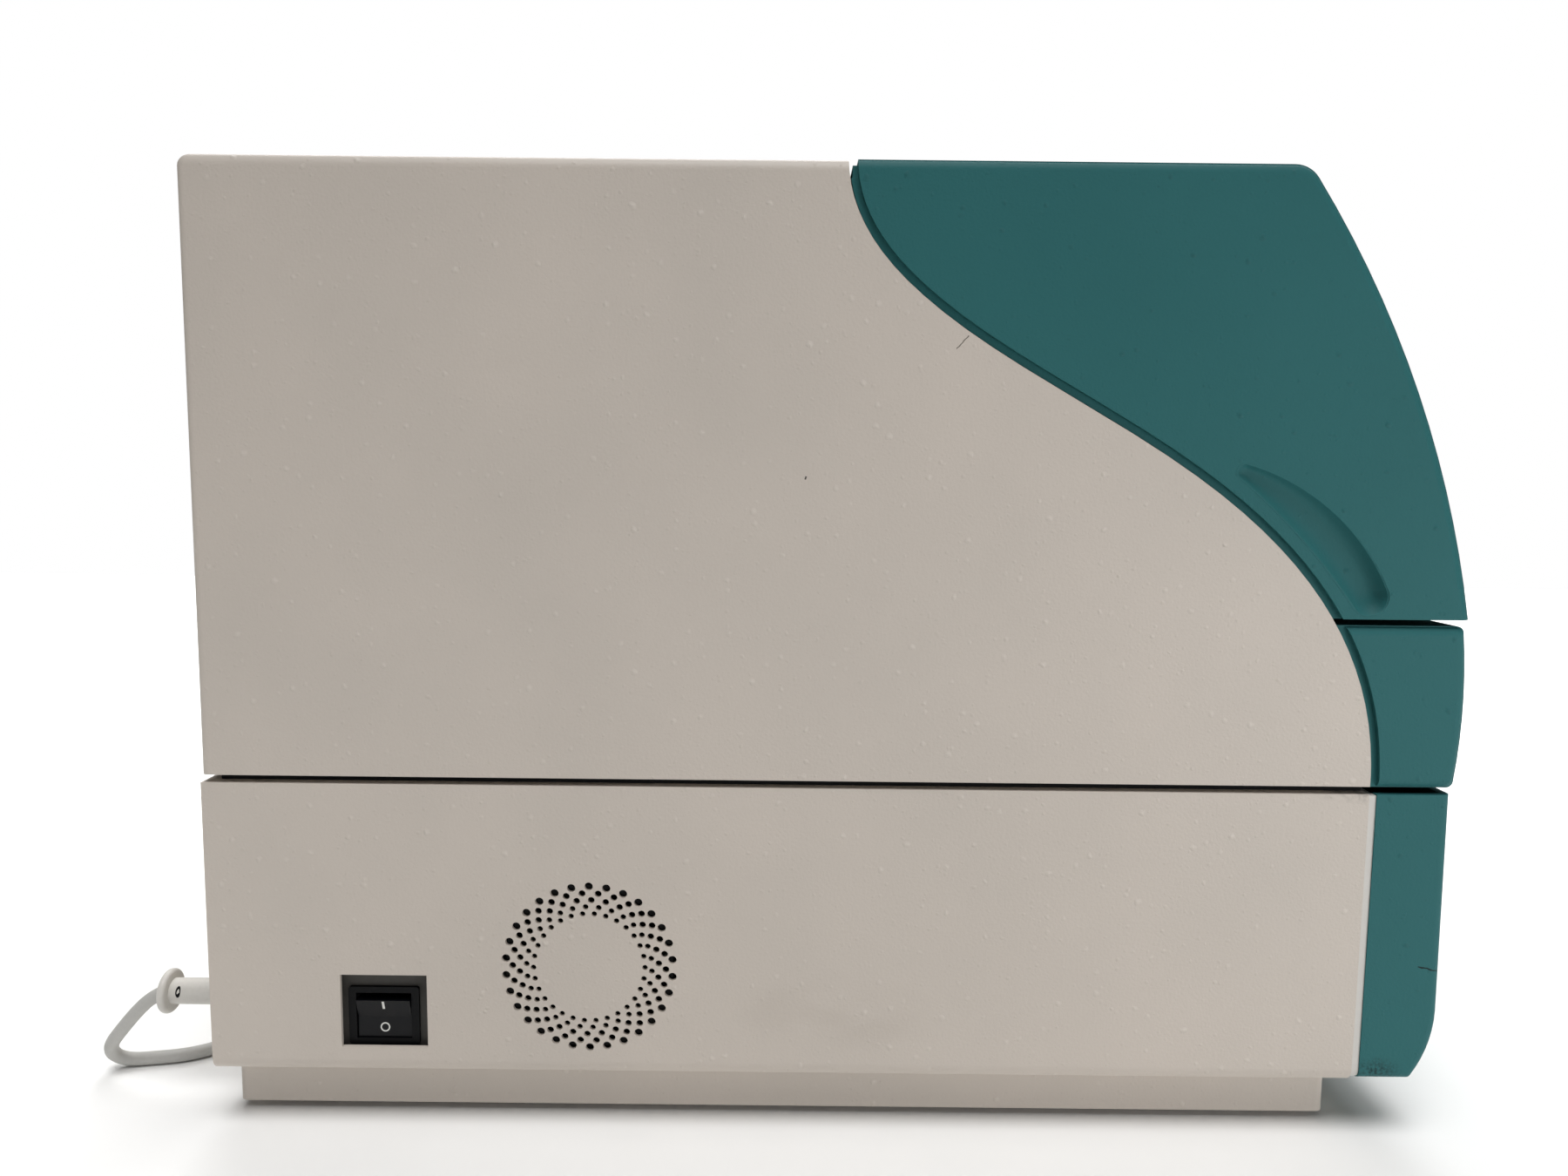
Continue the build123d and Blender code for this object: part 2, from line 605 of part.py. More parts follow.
def grip_face(grow):
    """The crescent finger recess in the hood's side view, made larger all round by grow."""
    def at(behind, above):
        return (0, NOSE_Y + behind, HOOD_BOTTOM + above)

    face = make_face(
        Wire([ThreePointArc(at(80.7, 53.0), at(53.9, 39.8), at(29.8, 9.7)),
              ThreePointArc(at(29.8, 9.7), at(33.0, 2.0), at(41.6, 4.5)),
              ThreePointArc(at(41.6, 4.5), at(61.7, 28.8), at(84.0, 49.3)),
              ThreePointArc(at(84.0, 49.3), at(83.1, 52.2), at(80.7, 53.0))])
    )
    return offset(face, grow) if grow else face


def hood():
    """The lifting teal hood with a finger recess on each side and its hinge lugs."""
    shell = front_piece(front_outline(0), front_outline(WALL), HOOD_BOTTOM, COVER_TOP)
    pad_x = SIDE_X - GRIP_DEPTH - GRIP_PAD
    pad = slab(grip_face(GRIP_PAD), pad_x, SIDE_X - WALL / 2)
    pad &= block(0, SIDE_X, NOSE_Y, REAR_Y, HOOD_BOTTOM, COVER_TOP)
    scoop = slab(grip_face(0), SIDE_X - GRIP_DEPTH, SIDE_X + 1)
    lug_x = CHEEK_IN - SEAT - HINGE_LUG_WIDTH
    lug = block(lug_x, lug_x + HINGE_LUG_WIDTH, HINGE_Y - HINGE_LUG_RADIUS, HINGE_Y + HINGE_LUG_RADIUS, HINGE_Z, COVER_TOP - WALL)
    lug += rod_x(HINGE_LUG_RADIUS, lug_x, lug_x + HINGE_LUG_WIDTH, HINGE_Y, HINGE_Z)
    bore = rod_x(HINGE_PIN_RADIUS + RUNNING_FIT, lug_x - 1, lug_x + HINGE_LUG_WIDTH + 1, HINGE_Y, HINGE_Z)
    shell = shell + both_sides(pad) + both_sides(lug) - both_sides(scoop) - both_sides(bore)
    keep("hood", shell)


def s_height(y, shift):
    """Height of the moved S edge above a given y."""
    edge = s_curve(shift)
    low, high = 0.0, 1.0
    for _ in range(40):
        middle = (low + high) / 2
        if edge.position_at(middle).Y > y:
            low = middle
        else:
            high = middle
    return edge.position_at(low).Z


def s_depth(z, shift):
    """The y of the moved S edge at a given height."""
    edge = s_curve(shift)
    low, high = 0.0, 1.0
    for _ in range(40):
        middle = (low + high) / 2
        if edge.position_at(middle).Z > z:
            low = middle
        else:
            high = middle
    return edge.position_at(low).Y


def inner_frame():
    """Deck, side cheeks with the hood's hinge pins, bay liner and optics bridge."""
    half = SIDE_X - DECK_INSET
    deck = block(-half, half, CASE_FRONT_Y + PLAY, REAR_Y - DECK_INSET, CASE_TOP, DECK_TOP)
    keep("deck_plate", deck)

    neck_foot = s_height(HINGE_Y + HINGE_LUG_RADIUS, -CHEEK_INSET)
    cheek = slab(side_of_s(-CHEEK_INSET, False), CHEEK_IN, CHEEK_X)
    cheek &= block(CHEEK_IN, CHEEK_X, NOSE_Y, CHEEK_REAR_Y, DECK_TOP, COVER_TOP - SHEET - SEAT)
    tip = HINGE_LUG_RADIUS - SEAT
    cheek += block(CHEEK_IN, CHEEK_X, HINGE_Y - tip, HINGE_Y + tip, neck_foot - 12, HINGE_Z)
    cheek += rod_x(tip, CHEEK_IN, CHEEK_X, HINGE_Y, HINGE_Z)
    cheek -= rod_x(HINGE_PIN_RADIUS, CHEEK_IN - 1, CHEEK_X + 1, HINGE_Y, HINGE_Z)
    keep("side_cheeks", *both_sides(cheek))
    pin_in = CHEEK_IN - SEAT - HINGE_LUG_WIDTH - SEAT
    keep("hinge_pins", *both_sides(rod_x(HINGE_PIN_RADIUS, pin_in, CHEEK_X, HINGE_Y, HINGE_Z)))

    skin = slab(side_of_s(-LINER_INSET, True) & block_face(), -CHEEK_IN, CHEEK_IN)
    skin -= slab(side_of_s(-LINER_INSET + SHEET, True), -SIDE_X, SIDE_X)
    skin &= block(-CHEEK_IN, CHEEK_IN, BAY_REAR_Y, REAR_Y, BAND_TOP, COVER_TOP - SHEET - SEAT)
    wall_top = s_height(BAY_REAR_Y, -LINER_INSET) + SHEET / 2
    wall = block(-CHEEK_IN, CHEEK_IN, BAY_REAR_Y, BAY_REAR_Y + SHEET, BAND_TOP - SHEET, wall_top)
    floor_front = s_depth(BAND_TOP, PLAY) + SEAT
    floor = block(-CHEEK_IN, CHEEK_IN, floor_front, BAY_REAR_Y + SHEET, BAND_TOP - SHEET, BAND_TOP)
    keep("bay_liner", skin + wall + floor)

    bridge = block(-CHEEK_IN, CHEEK_IN, BRIDGE_FRONT_Y, CHEEK_REAR_Y, BRIDGE_Z, BRIDGE_TOP)
    for side in (-1, 1):
        bridge -= rod_z(GUIDE_TUBE_RADIUS + PLAY, BRIDGE_Z - 1, BRIDGE_TOP + 1, side * HEAD_WIDE / 4, READ_Y)
    keep("optics_bridge", bridge)


def block_face():
    """A large face in the YZ plane that covers the whole instrument."""
    return make_face(Wire([
        Line((0, NOSE_Y - 20, 0), (0, REAR_Y, 0)), Line((0, REAR_Y, 0), (0, REAR_Y, COVER_TOP)),
        Line((0, REAR_Y, COVER_TOP), (0, NOSE_Y - 20, COVER_TOP)), Line((0, NOSE_Y - 20, COVER_TOP), (0, NOSE_Y - 20, 0)),
    ]))


def belt_loop(face_axis, centre_a, centre_b, across, z):
    """A flat toothless belt round two equal pulleys, with its inner face on the pulley radius."""
    outer, inner = PULLEY_RADIUS + BELT_THICK, PULLEY_RADIUS
    low, high = across - BELT_WIDTH / 2, across + BELT_WIDTH / 2
    if face_axis == "x":
        def solid(r):
            return (block(low, high, centre_a, centre_b, z - r, z + r)
                    + rod_x(r, low, high, centre_a, z) + rod_x(r, low, high, centre_b, z))
    else:
        def solid(r):
            return (block(centre_a, centre_b, low, high, z - r, z + r)
                    + rod_y(r, low, high, centre_a, z) + rod_y(r, low, high, centre_b, z))
    return solid(outer) - solid(inner)


def transport():
    """Rods, carriage, plate tray and the belt drives that move the microplate."""
    rods, blocks = [], []
    for x in (-Y_ROD_X, Y_ROD_X):
        rods.append(rod_y(Y_ROD_RADIUS, Y_ROD_FRONT, Y_ROD_REAR, x, ROD_Z))
        for y in (Y_ROD_FRONT, Y_ROD_REAR - RAIL_BLOCK):
            seat = block(x - 8, x + 8, y, y + RAIL_BLOCK, DECK_TOP, ROD_Z + 6)
            blocks.append(seat - rod_y(Y_ROD_RADIUS, y - 1, y + RAIL_BLOCK + 1, x, ROD_Z))
    keep("y_rods", *rods)

    low, high = ROD_Z - BEAM_HEIGHT / 2, ROD_Z + BEAM_HEIGHT / 2
    end = Y_ROD_X + BEARING_WIDTH / 2
    beam = block(-end, end, BEAM_Y, BEAM_Y + BEAM_THICK, low, high)
    ear_y = X_ROD_Y - X_ROD_RADIUS - 4
    for side in (-1, 1):
        x = side * Y_ROD_X
        beam += block(x - BEARING_WIDTH / 2, x + BEARING_WIDTH / 2, BEAM_Y, BEAM_Y + BEARING_LENGTH, low, high)
        ear_in, ear_out = sorted((side * (X_ROD_HALF - X_ROD_EAR), side * X_ROD_HALF))
        beam += block(ear_in, ear_out, ear_y, BEAM_Y, low, high)
    reach = Y_BELT_X + BELT_WIDTH / 2 + PLAY
    clamp = PULLEY_RADIUS - SEAT
    beam += block(end, reach, BEAM_Y, BEAM_Y + BEAM_THICK, ROD_Z - clamp, ROD_Z + clamp)
    for x in (-Y_ROD_X, Y_ROD_X):
        beam -= rod_y(Y_ROD_RADIUS + RUNNING_FIT, BEAM_Y - 1, BEAM_Y + BEARING_LENGTH + 1, x, ROD_Z)
    x_rods = [rod_x(X_ROD_RADIUS, -X_ROD_HALF, X_ROD_HALF, X_ROD_Y, ROD_Z + s) for s in (-X_ROD_SPREAD, X_ROD_SPREAD)]
    for x in (-X_PULLEY_X, X_PULLEY_X):
        beam -= rod_y(SHAFT_RADIUS + RUNNING_FIT, BEAM_Y - 1, BEAM_Y + BEAM_THICK + 1, x, ROD_Z)
    keep("y_carriage", beam - x_rods)
    keep("x_rods", *x_rods)

    slide_low, slide_high = X_ROD_Y - SLIDER_DEPTH / 2, X_ROD_Y + SLIDER_DEPTH / 2
    tray = block(-TRAY_HALF_X, TRAY_HALF_X, READ_Y - TRAY_HALF_Y, READ_Y + TRAY_HALF_Y, TRAY_BOTTOM_Z, TRAY_BOTTOM_Z + TRAY_HEIGHT)
    tray = fillet(tray.edges().filter_by(Axis.Z), TRAY_RIM)
    nest_x, nest_y = PLATE_LENGTH / 2 + NEST_PLAY, PLATE_WIDTH / 2 + NEST_PLAY
    tray -= block(-nest_x, nest_x, READ_Y - nest_y, READ_Y + nest_y, TRAY_BOTTOM_Z + TRAY_FLOOR, TRAY_BOTTOM_Z + TRAY_HEIGHT + 1)
    ledge = TRAY_RIM + 1.5
    tray -= block(-nest_x + ledge, nest_x - ledge, READ_Y - nest_y + ledge, READ_Y + nest_y - ledge, TRAY_BOTTOM_Z - 1, TRAY_BOTTOM_Z + TRAY_HEIGHT)
    tray += block(-SLIDER_HALF, SLIDER_HALF, READ_Y + TRAY_HALF_Y - 1, slide_low, TRAY_BOTTOM_Z, TRAY_BOTTOM_Z + TRAY_HEIGHT)
    tray += block(-SLIDER_HALF, SLIDER_HALF, slide_low, slide_high, low, high)
    for s in (-X_ROD_SPREAD, X_ROD_SPREAD):
        tray -= rod_x(X_ROD_RADIUS + RUNNING_FIT, -SLIDER_HALF - 1, SLIDER_HALF + 1, X_ROD_Y, ROD_Z + s)
    keep("plate_carrier", tray)

    x_belt_y = (slide_high + BEAM_Y) / 2
    keep("x_belt", belt_loop("y", -X_PULLEY_X, X_PULLEY_X, x_belt_y, ROD_Z))
    wheel_low, wheel_high = x_belt_y - BELT_WIDTH / 2, x_belt_y + BELT_WIDTH / 2
    shaft_end = BEAM_Y + BEAM_THICK + 6
    for name, x, end_y in (("x_pulley", -X_PULLEY_X, shaft_end), ("x_idler", X_PULLEY_X, BEAM_Y + BEAM_THICK)):
        pulley = rod_y(PULLEY_RADIUS - RUNNING_FIT, wheel_low, wheel_high, x, ROD_Z)
        keep(name, pulley + rod_y(SHAFT_RADIUS, wheel_low, end_y, x, ROD_Z))
    motor_y = BEAM_Y + BEAM_THICK
    half = SMALL_MOTOR_WIDE / 2
    motor = block(-X_PULLEY_X - half, -X_PULLEY_X + half, motor_y, motor_y + SMALL_MOTOR_LONG, ROD_Z - half, ROD_Z + half)
    motor = chamfer(motor.edges().filter_by(Axis.Y), 3)
    keep("x_motor", motor - rod_y(SHAFT_RADIUS + RUNNING_FIT, motor_y - 1, shaft_end + SEAT, -X_PULLEY_X, ROD_Z))

    keep("y_belt", belt_loop("x", Y_IDLER_Y, Y_PULLEY_Y, Y_BELT_X, ROD_Z))
    belt_low, belt_high = Y_BELT_X - BELT_WIDTH / 2, Y_BELT_X + BELT_WIDTH / 2
    motor_out = belt_low - 6
    shaft_in = motor_out - 8
    pulley = rod_x(PULLEY_RADIUS - RUNNING_FIT, belt_low, belt_high, Y_PULLEY_Y, ROD_Z)
    keep("y_pulley", pulley + rod_x(SHAFT_RADIUS, shaft_in, belt_high, Y_PULLEY_Y, ROD_Z))
    half = MOTOR_WIDE / 2
    motor = block(motor_out - MOTOR_LONG, motor_out, Y_PULLEY_Y - half, Y_PULLEY_Y + half, DECK_TOP, ROD_Z + half)
    motor = chamfer(motor.edges().filter_by(Axis.X), 3)
    motor -= rod_x(SHAFT_RADIUS + RUNNING_FIT, shaft_in - SEAT, motor_out + 1, Y_PULLEY_Y, ROD_Z)
    stand_out = belt_high + 9
    idler = rod_x(PULLEY_RADIUS - RUNNING_FIT, belt_low, belt_high, Y_IDLER_Y, ROD_Z)
    keep("y_idler", idler + rod_x(SHAFT_RADIUS, belt_low, stand_out, Y_IDLER_Y, ROD_Z))
    stand = block(belt_high + 1, stand_out, Y_IDLER_Y - 6, Y_IDLER_Y + 6, DECK_TOP, ROD_Z + 7)
    blocks.append(stand - rod_x(SHAFT_RADIUS + RUNNING_FIT, belt_high, stand_out + 1, Y_IDLER_Y, ROD_Z))
    keep("rail_blocks", *blocks)
    return motor


def plate_door():
    """The shutter behind the slot in the band, and its two upright guides."""
    low, high = SLOT_BOTTOM_Z - SHUTTER_LAP, SLOT_BOTTOM_Z + SLOT_HEIGHT + SHUTTER_LAP
    back = SHUTTER_Y + SHUTTER_THICK
    shutter = block(-SHUTTER_HALF, SHUTTER_HALF, SHUTTER_Y, back, low, high)
    keep("plate_shutter", shutter)
    guide_in = SLOT_HALF + GUIDE_LAP
    guide_out = guide_in + GUIDE_LAP + 2
    foot = low - SHUTTER_RATIO * TRAVEL_OUT - 4
    top = BAND_TOP - WALL - SEAT
    groove = block(
        guide_in - 1, SHUTTER_HALF + SEAT, SHUTTER_Y - SEAT, back + SEAT, foot + 3, top + 1
    )
    guide = block(guide_in, guide_out, SHUTTER_Y - SEAT - 1, FRONT_PLATE_Y, foot, CASE_TOP - PLAY)
    guide += block(guide_in, guide_out, SHUTTER_Y - SEAT - 1, back + SEAT + 4, CASE_TOP - PLAY, top)
    keep("shutter_guides", *both_sides(guide - groove))


def optics(belt_motor):
    """Measuring head, filter wheels with motors, flash lamp, detector and light guides."""
    half_w, half_d = HEAD_WIDE / 2, HEAD_DEEP / 2
    head = block(-half_w, half_w, READ_Y - half_d, READ_Y + half_d, HEAD_BOTTOM_Z + 8, BRIDGE_Z)
    head = chamfer(head.edges().filter_by(Axis.Z), 6)
    keep("optic_head", head + rod_z(12, HEAD_BOTTOM_Z, HEAD_BOTTOM_Z + 8, 0, READ_Y))
    half_s = SENSOR_WIDE / 2
    sensor = block(-half_s, half_s, READ_Y - half_s, READ_Y + half_s, DECK_TOP, TRAY_BOTTOM_Z - SENSOR_GAP)
    keep("lower_sensor", sensor - rod_z(6, TRAY_BOTTOM_Z - SENSOR_GAP - 4, TRAY_BOTTOM_Z, 0, READ_Y))

    stand_y = WHEEL_Y + WHEEL_THICK / 2 + 4
    stands, motors, guides = [], [], []
    for side, name in ((-1, "excitation_wheel"), (1, "emission_wheel")):
        x = side * WHEEL_X
        beam_x = x + side * FILTER_CIRCLE
        half = STAND_WIDE / 2
        stand = block(x - half, x + half, stand_y, stand_y + STAND_THICK, BRIDGE_TOP, BRIDGE_TOP + STAND_HEIGHT)
        stand -= rod_y(FILTER_RADIUS + 1.5, stand_y - 1, stand_y + 9, beam_x, WHEEL_Z)
        stand -= rod_y(SHAFT_RADIUS + RUNNING_FIT, stand_y - 1, stand_y + 9, x, WHEEL_Z)
        guide_y = WHEEL_Y - WHEEL_THICK / 2 - PLAY
        post = block(beam_x - 6, beam_x + 6, guide_y - 9, guide_y - 3, BRIDGE_TOP, WHEEL_Z + 6)
        stands += [stand, post - rod_y(GUIDE_TUBE_RADIUS, guide_y - 10, guide_y, beam_x, WHEEL_Z)]
        wheel = rod_y(WHEEL_RADIUS, WHEEL_Y - WHEEL_THICK / 2, WHEEL_Y + WHEEL_THICK / 2, x, WHEEL_Z)
        for number in range(FILTER_COUNT):
            angle = 2 * math.pi * number / FILTER_COUNT
            fx, fz = x + FILTER_CIRCLE * math.cos(angle), WHEEL_Z + FILTER_CIRCLE * math.sin(angle)
            wheel -= rod_y(FILTER_RADIUS, WHEEL_Y, WHEEL_Y + WHEEL_THICK, fx, fz)
            wheel -= rod_y(FILTER_RADIUS - 1, WHEEL_Y - WHEEL_THICK, WHEEL_Y + WHEEL_THICK, fx, fz)
        motor_y = stand_y + STAND_THICK
        wheel += rod_y(SHAFT_RADIUS, WHEEL_Y, motor_y + 6, x, WHEEL_Z)
        keep(name, wheel)
        half = FILTER_MOTOR / 2
        motor = block(x - half, x + half, motor_y, motor_y + SMALL_MOTOR_LONG, WHEEL_Z - half, WHEEL_Z + half)
        motor = chamfer(motor.edges().filter_by(Axis.Y), 2.5)
        motors.append(motor - rod_y(SHAFT_RADIUS + RUNNING_FIT, motor_y - 1, motor_y + 6 + SEAT, x, WHEEL_Z))
        end_x = side * HEAD_WIDE / 4
        bend_y = READ_Y
        path = FilletPolyline(
            (beam_x, guide_y, WHEEL_Z), (beam_x, bend_y, WHEEL_Z), (end_x, bend_y, WHEEL_Z - 7), (end_x, bend_y, BRIDGE_Z),
            radius=GUIDE_BEND,
        )
        section = Plane(origin=path @ 0, z_dir=path % 0) * Circle(GUIDE_TUBE_RADIUS)
        guides.append(sweep(section, path=path))
    keep("filter_stands", *stands)
    keep("stepper_motors", belt_motor, *motors)
    keep("light_guides", *guides)

    back = stand_y + STAND_THICK
    beam_x = -WHEEL_X - FILTER_CIRCLE
    lamp_in = -WHEEL_X - FILTER_MOTOR / 2 - 1
    lamp = block(lamp_in - LAMP_WIDE, lamp_in, back, back + LAMP_LONG, BRIDGE_TOP, BRIDGE_TOP + LAMP_HIGH)
    keep("flash_lamp", chamfer(lamp.edges().filter_by(Axis.Y), 2))
    beam_x = -beam_x
    tube = rod_y(DETECTOR_RADIUS, back, back + DETECTOR_LONG, beam_x, WHEEL_Z)
    saddle_low, saddle_high = beam_x - DETECTOR_RADIUS, beam_x + DETECTOR_RADIUS
    saddle = block(saddle_low + 4, saddle_high - 4, back + 10, back + DETECTOR_LONG - 10, BRIDGE_TOP, WHEEL_Z)
    keep("light_detector", tube + saddle)


def injector_bay():
    """Two syringe pumps and the reagent rack on the floor under the hood."""
    floor = BAND_TOP
    rear = BAY_REAR_Y - 6
    front = rear - PUMP_DEEP
    top = floor + PUMP_HIGH
    syringe_y = front - SYRINGE_RADIUS - 2
    valve_low = top - 14
    housings, barrels = [], []
    for number, x in enumerate(PUMP_X, 1):
        body = block(x - PUMP_WIDE / 2, x + PUMP_WIDE / 2, front, rear, floor, top)
        body = fillet(body.edges().filter_by(Axis.Z), 3)
        valve = block(x - 11, x + 11, syringe_y - 9, front, valve_low, top - 2)
        housings.append(body + valve)
        barrel_low = valve_low - SYRINGE_LONG
        barrel = rod_z(SYRINGE_RADIUS, barrel_low, valve_low, x, syringe_y)
        barrels.append(barrel - rod_z(SYRINGE_BORE, barrel_low - 1, valve_low - 2, x, syringe_y))
        bar_top = barrel_low - 2
        plunger = rod_z(PLUNGER_HEAD_RADIUS, valve_low - 7, valve_low - 3, x, syringe_y)
        plunger += rod_z(PLUNGER_ROD_RADIUS, bar_top, valve_low - 5, x, syringe_y)
        plunger += block(x - 7, x + 7, syringe_y - 6, front - SEAT, bar_top - 5, bar_top)
        keep(f"plunger_{number}", plunger)
    keep("injector_pumps", *housings)
    keep("syringe_barrels", *barrels)
    rack = block(RACK_X - RACK_WIDE / 2, RACK_X + RACK_WIDE / 2, rear - RACK_DEEP, rear, floor, floor + RACK_HIGH)
    rack = fillet(rack.edges().filter_by(Axis.Z), 4)
    for step in (-1, 0, 1):
        rack -= rod_z(WELL_RADIUS, floor + RACK_HIGH - WELL_DEPTH, floor + RACK_HIGH + 1, RACK_X + step * WELL_PITCH, rear - RACK_DEEP / 2)
    keep("reagent_rack", rack)


def electrics():
    """Power supply, main board, fan and front panel key with its lamps."""
    psu_x = -CASE_WIDE_IN + 60
    psu = block(psu_x, psu_x + PSU_WIDE, PSU_Y, PSU_Y + PSU_LONG, CASE_FLOOR, CASE_FLOOR + PSU_HIGH)
    keep("power_supply", chamfer(psu.edges().filter_by(Axis.Z), 1.5))
    x0, x1, y0, y1 = BOARD_BOX
    board_z = CASE_FLOOR + STANDOFF
    board = block(x0, x1, y0, y1, board_z, board_z + BOARD_THICK)
    for dx, dy, wide, long, high in BOARD_PIECES:
        board += block(x0 + dx, x0 + dx + wide, y0 + dy, y0 + dy + long, board_z + BOARD_THICK, board_z + BOARD_THICK + high)
    keep("main_board", board)
    posts = [rod_z(3, CASE_FLOOR, board_z, x, y) for x in (x0 + 8, x1 - 8) for y in (y0 + 8, y1 - 8)]
    keep("board_standoffs", *posts)

    outer = -SIDE_X + SHEET + SEAT
    inner = outer + FAN_DEEP
    half = FAN_SIZE / 2
    frame = block(outer, inner, FAN_Y - half, FAN_Y + half, FAN_Z - half, FAN_Z + half)
    frame = fillet(frame.edges().filter_by(Axis.X), 4)
    frame -= rod_x(FAN_BORE, outer - 1, inner + 1, FAN_Y, FAN_Z)
    hub_x = inner - 4
    frame += rod_x(FAN_HUB, hub_x, inner, FAN_Y, FAN_Z)
    for turn in (30, 150, 270):
        strut = Pos(hub_x + 2, FAN_Y, FAN_Z) * Rot(turn, 0, 0) * Pos(0, (FAN_HUB + FAN_BORE) / 2, 0) * Box(3, FAN_BORE - FAN_HUB + 3, 4)
        frame += strut
    frame -= rod_x(2 + RUNNING_FIT, hub_x - 1, inner - 1, FAN_Y, FAN_Z)
    keep("fan_frame", frame)
    wheel = rod_x(FAN_HUB, outer + 2, hub_x - 1, FAN_Y, FAN_Z) + rod_x(2, outer + 3, inner - 2, FAN_Y, FAN_Z)
    blade_mid = (outer + 2 + hub_x - 1) / 2
    root, tip = FAN_HUB - 1, FAN_BORE - 1.2
    for number in range(FAN_BLADES):
        blade = Pos(0, (root + tip) / 2, 0) * Rot(0, 40, 0) * Box(14, tip - root, 1.6)
        wheel += Pos(blade_mid, FAN_Y, FAN_Z) * Rot(360 / FAN_BLADES * number, 0, 0) * blade
    keep("fan_impeller", wheel)

    lamp_front = NOSE_Y + FASCIA_SETBACK + 0.2
    lamps = [rod_y(LED_RADIUS, lamp_front, lamp_front + 9, x, KEY_Z) for x in led_places()]
    keep("status_lamps", *lamps)
    key_rear = NOSE_Y + 11
    key = block(KEY_X - KEY_WIDE / 2, KEY_X + KEY_WIDE / 2, NOSE_Y + 0.6, key_rear, KEY_Z - KEY_HIGH / 2, KEY_Z + KEY_HIGH / 2)
    front_edges = [e for e in key.edges() if e.position_at(0.5).Y < NOSE_Y + 1]
    key = fillet(front_edges, 0.6)
    keep("plate_key", key)
    switch = block(KEY_X - 8, KEY_X + 8, key_rear + KEY_TRAVEL + SEAT, FRONT_PLATE_Y, KEY_Z - 7, KEY_Z + 7)
    keep("key_switch", switch)


def led_places():
    """X of each status lamp on the fascia."""
    return [LED_X + number * LED_PITCH for number in range(LED_COUNT)]


def mains_switch():
    """Sunk bracket, switch body with bezel, and the rocker resting in its off position."""
    frame_y, frame_z = SWITCH_CUT_WIDE / 2 + 1.5, SWITCH_CUT_HIGH / 2 + 1.5
    y, z = SWITCH_Y, SWITCH_Z
    inner_face = -SIDE_X + SHEET
    rim = 3.0
    ring = block(inner_face, BRACKET_X + SHEET, y - frame_y - rim, y + frame_y + rim, z - frame_z - rim, z + frame_z + rim)
    ring -= block(inner_face - 1, BRACKET_X, y - frame_y, y + frame_y, z - frame_z, z + frame_z)
    by = y + BEZEL_ASIDE
    half_w, half_h = BEZEL_WIDE / 2, BEZEL_HIGH / 2
    body_w, body_h = half_w - 1.2, half_h - 0.9
    ring -= block(BRACKET_X - 1, BRACKET_X + 9, by - body_w, by + body_w, BEZEL_Z - body_h, BEZEL_Z + body_h)
    keep("switch_bracket", ring)
    face = BRACKET_X - BEZEL_STAND
    body = block(face, BRACKET_X, by - half_w, by + half_w, BEZEL_Z - half_h, BEZEL_Z + half_h)
    body = fillet(body.edges().filter_by(Axis.X), 1)
    body += block(BRACKET_X, BRACKET_X + SWITCH_BODY_DEEP, by - body_w, by + body_w, BEZEL_Z - body_h, BEZEL_Z + body_h)
    pit_y, pit_z = ROCKER_WIDE / 2 + SEAT, ROCKER_HIGH / 2
    body -= block(face - 1, BRACKET_X + 9, by - pit_y, by + pit_y, BEZEL_Z - pit_z, BEZEL_Z + pit_z)
    axis_x = BRACKET_X + ROCKER_AXIS_DEPTH
    body -= rod_y(1.5 + RUNNING_FIT, by - pit_y - 1, by + pit_y + 1, axis_x, BEZEL_Z)
    keep("switch_body", body)
    reach, waist, half = ROCKER_REACH, ROCKER_REACH - 1.2, ROCKER_HIGH / 2 - 1.3
    outline = [(-reach, half), (-waist, 0), (-reach, -half), (1.5, -half + 1.5), (1.5, half - 1.5)]
    edges = [Line((a[0], 0, a[1]), (b[0], 0, b[1])) for a, b in zip(outline, outline[1:] + outline[:1])]
    rocker = extrude(make_face(Wire(edges)), amount=ROCKER_WIDE / 2, dir=(0, 1, 0), both=True)
    rocker += rod_y(1.5, -ROCKER_WIDE / 2 - 1, ROCKER_WIDE / 2 + 1, 0, 0)
    keep("rocker", Pos(axis_x, by, BEZEL_Z) * Rot(0, -ROCKER_TILT, 0) * rocker)


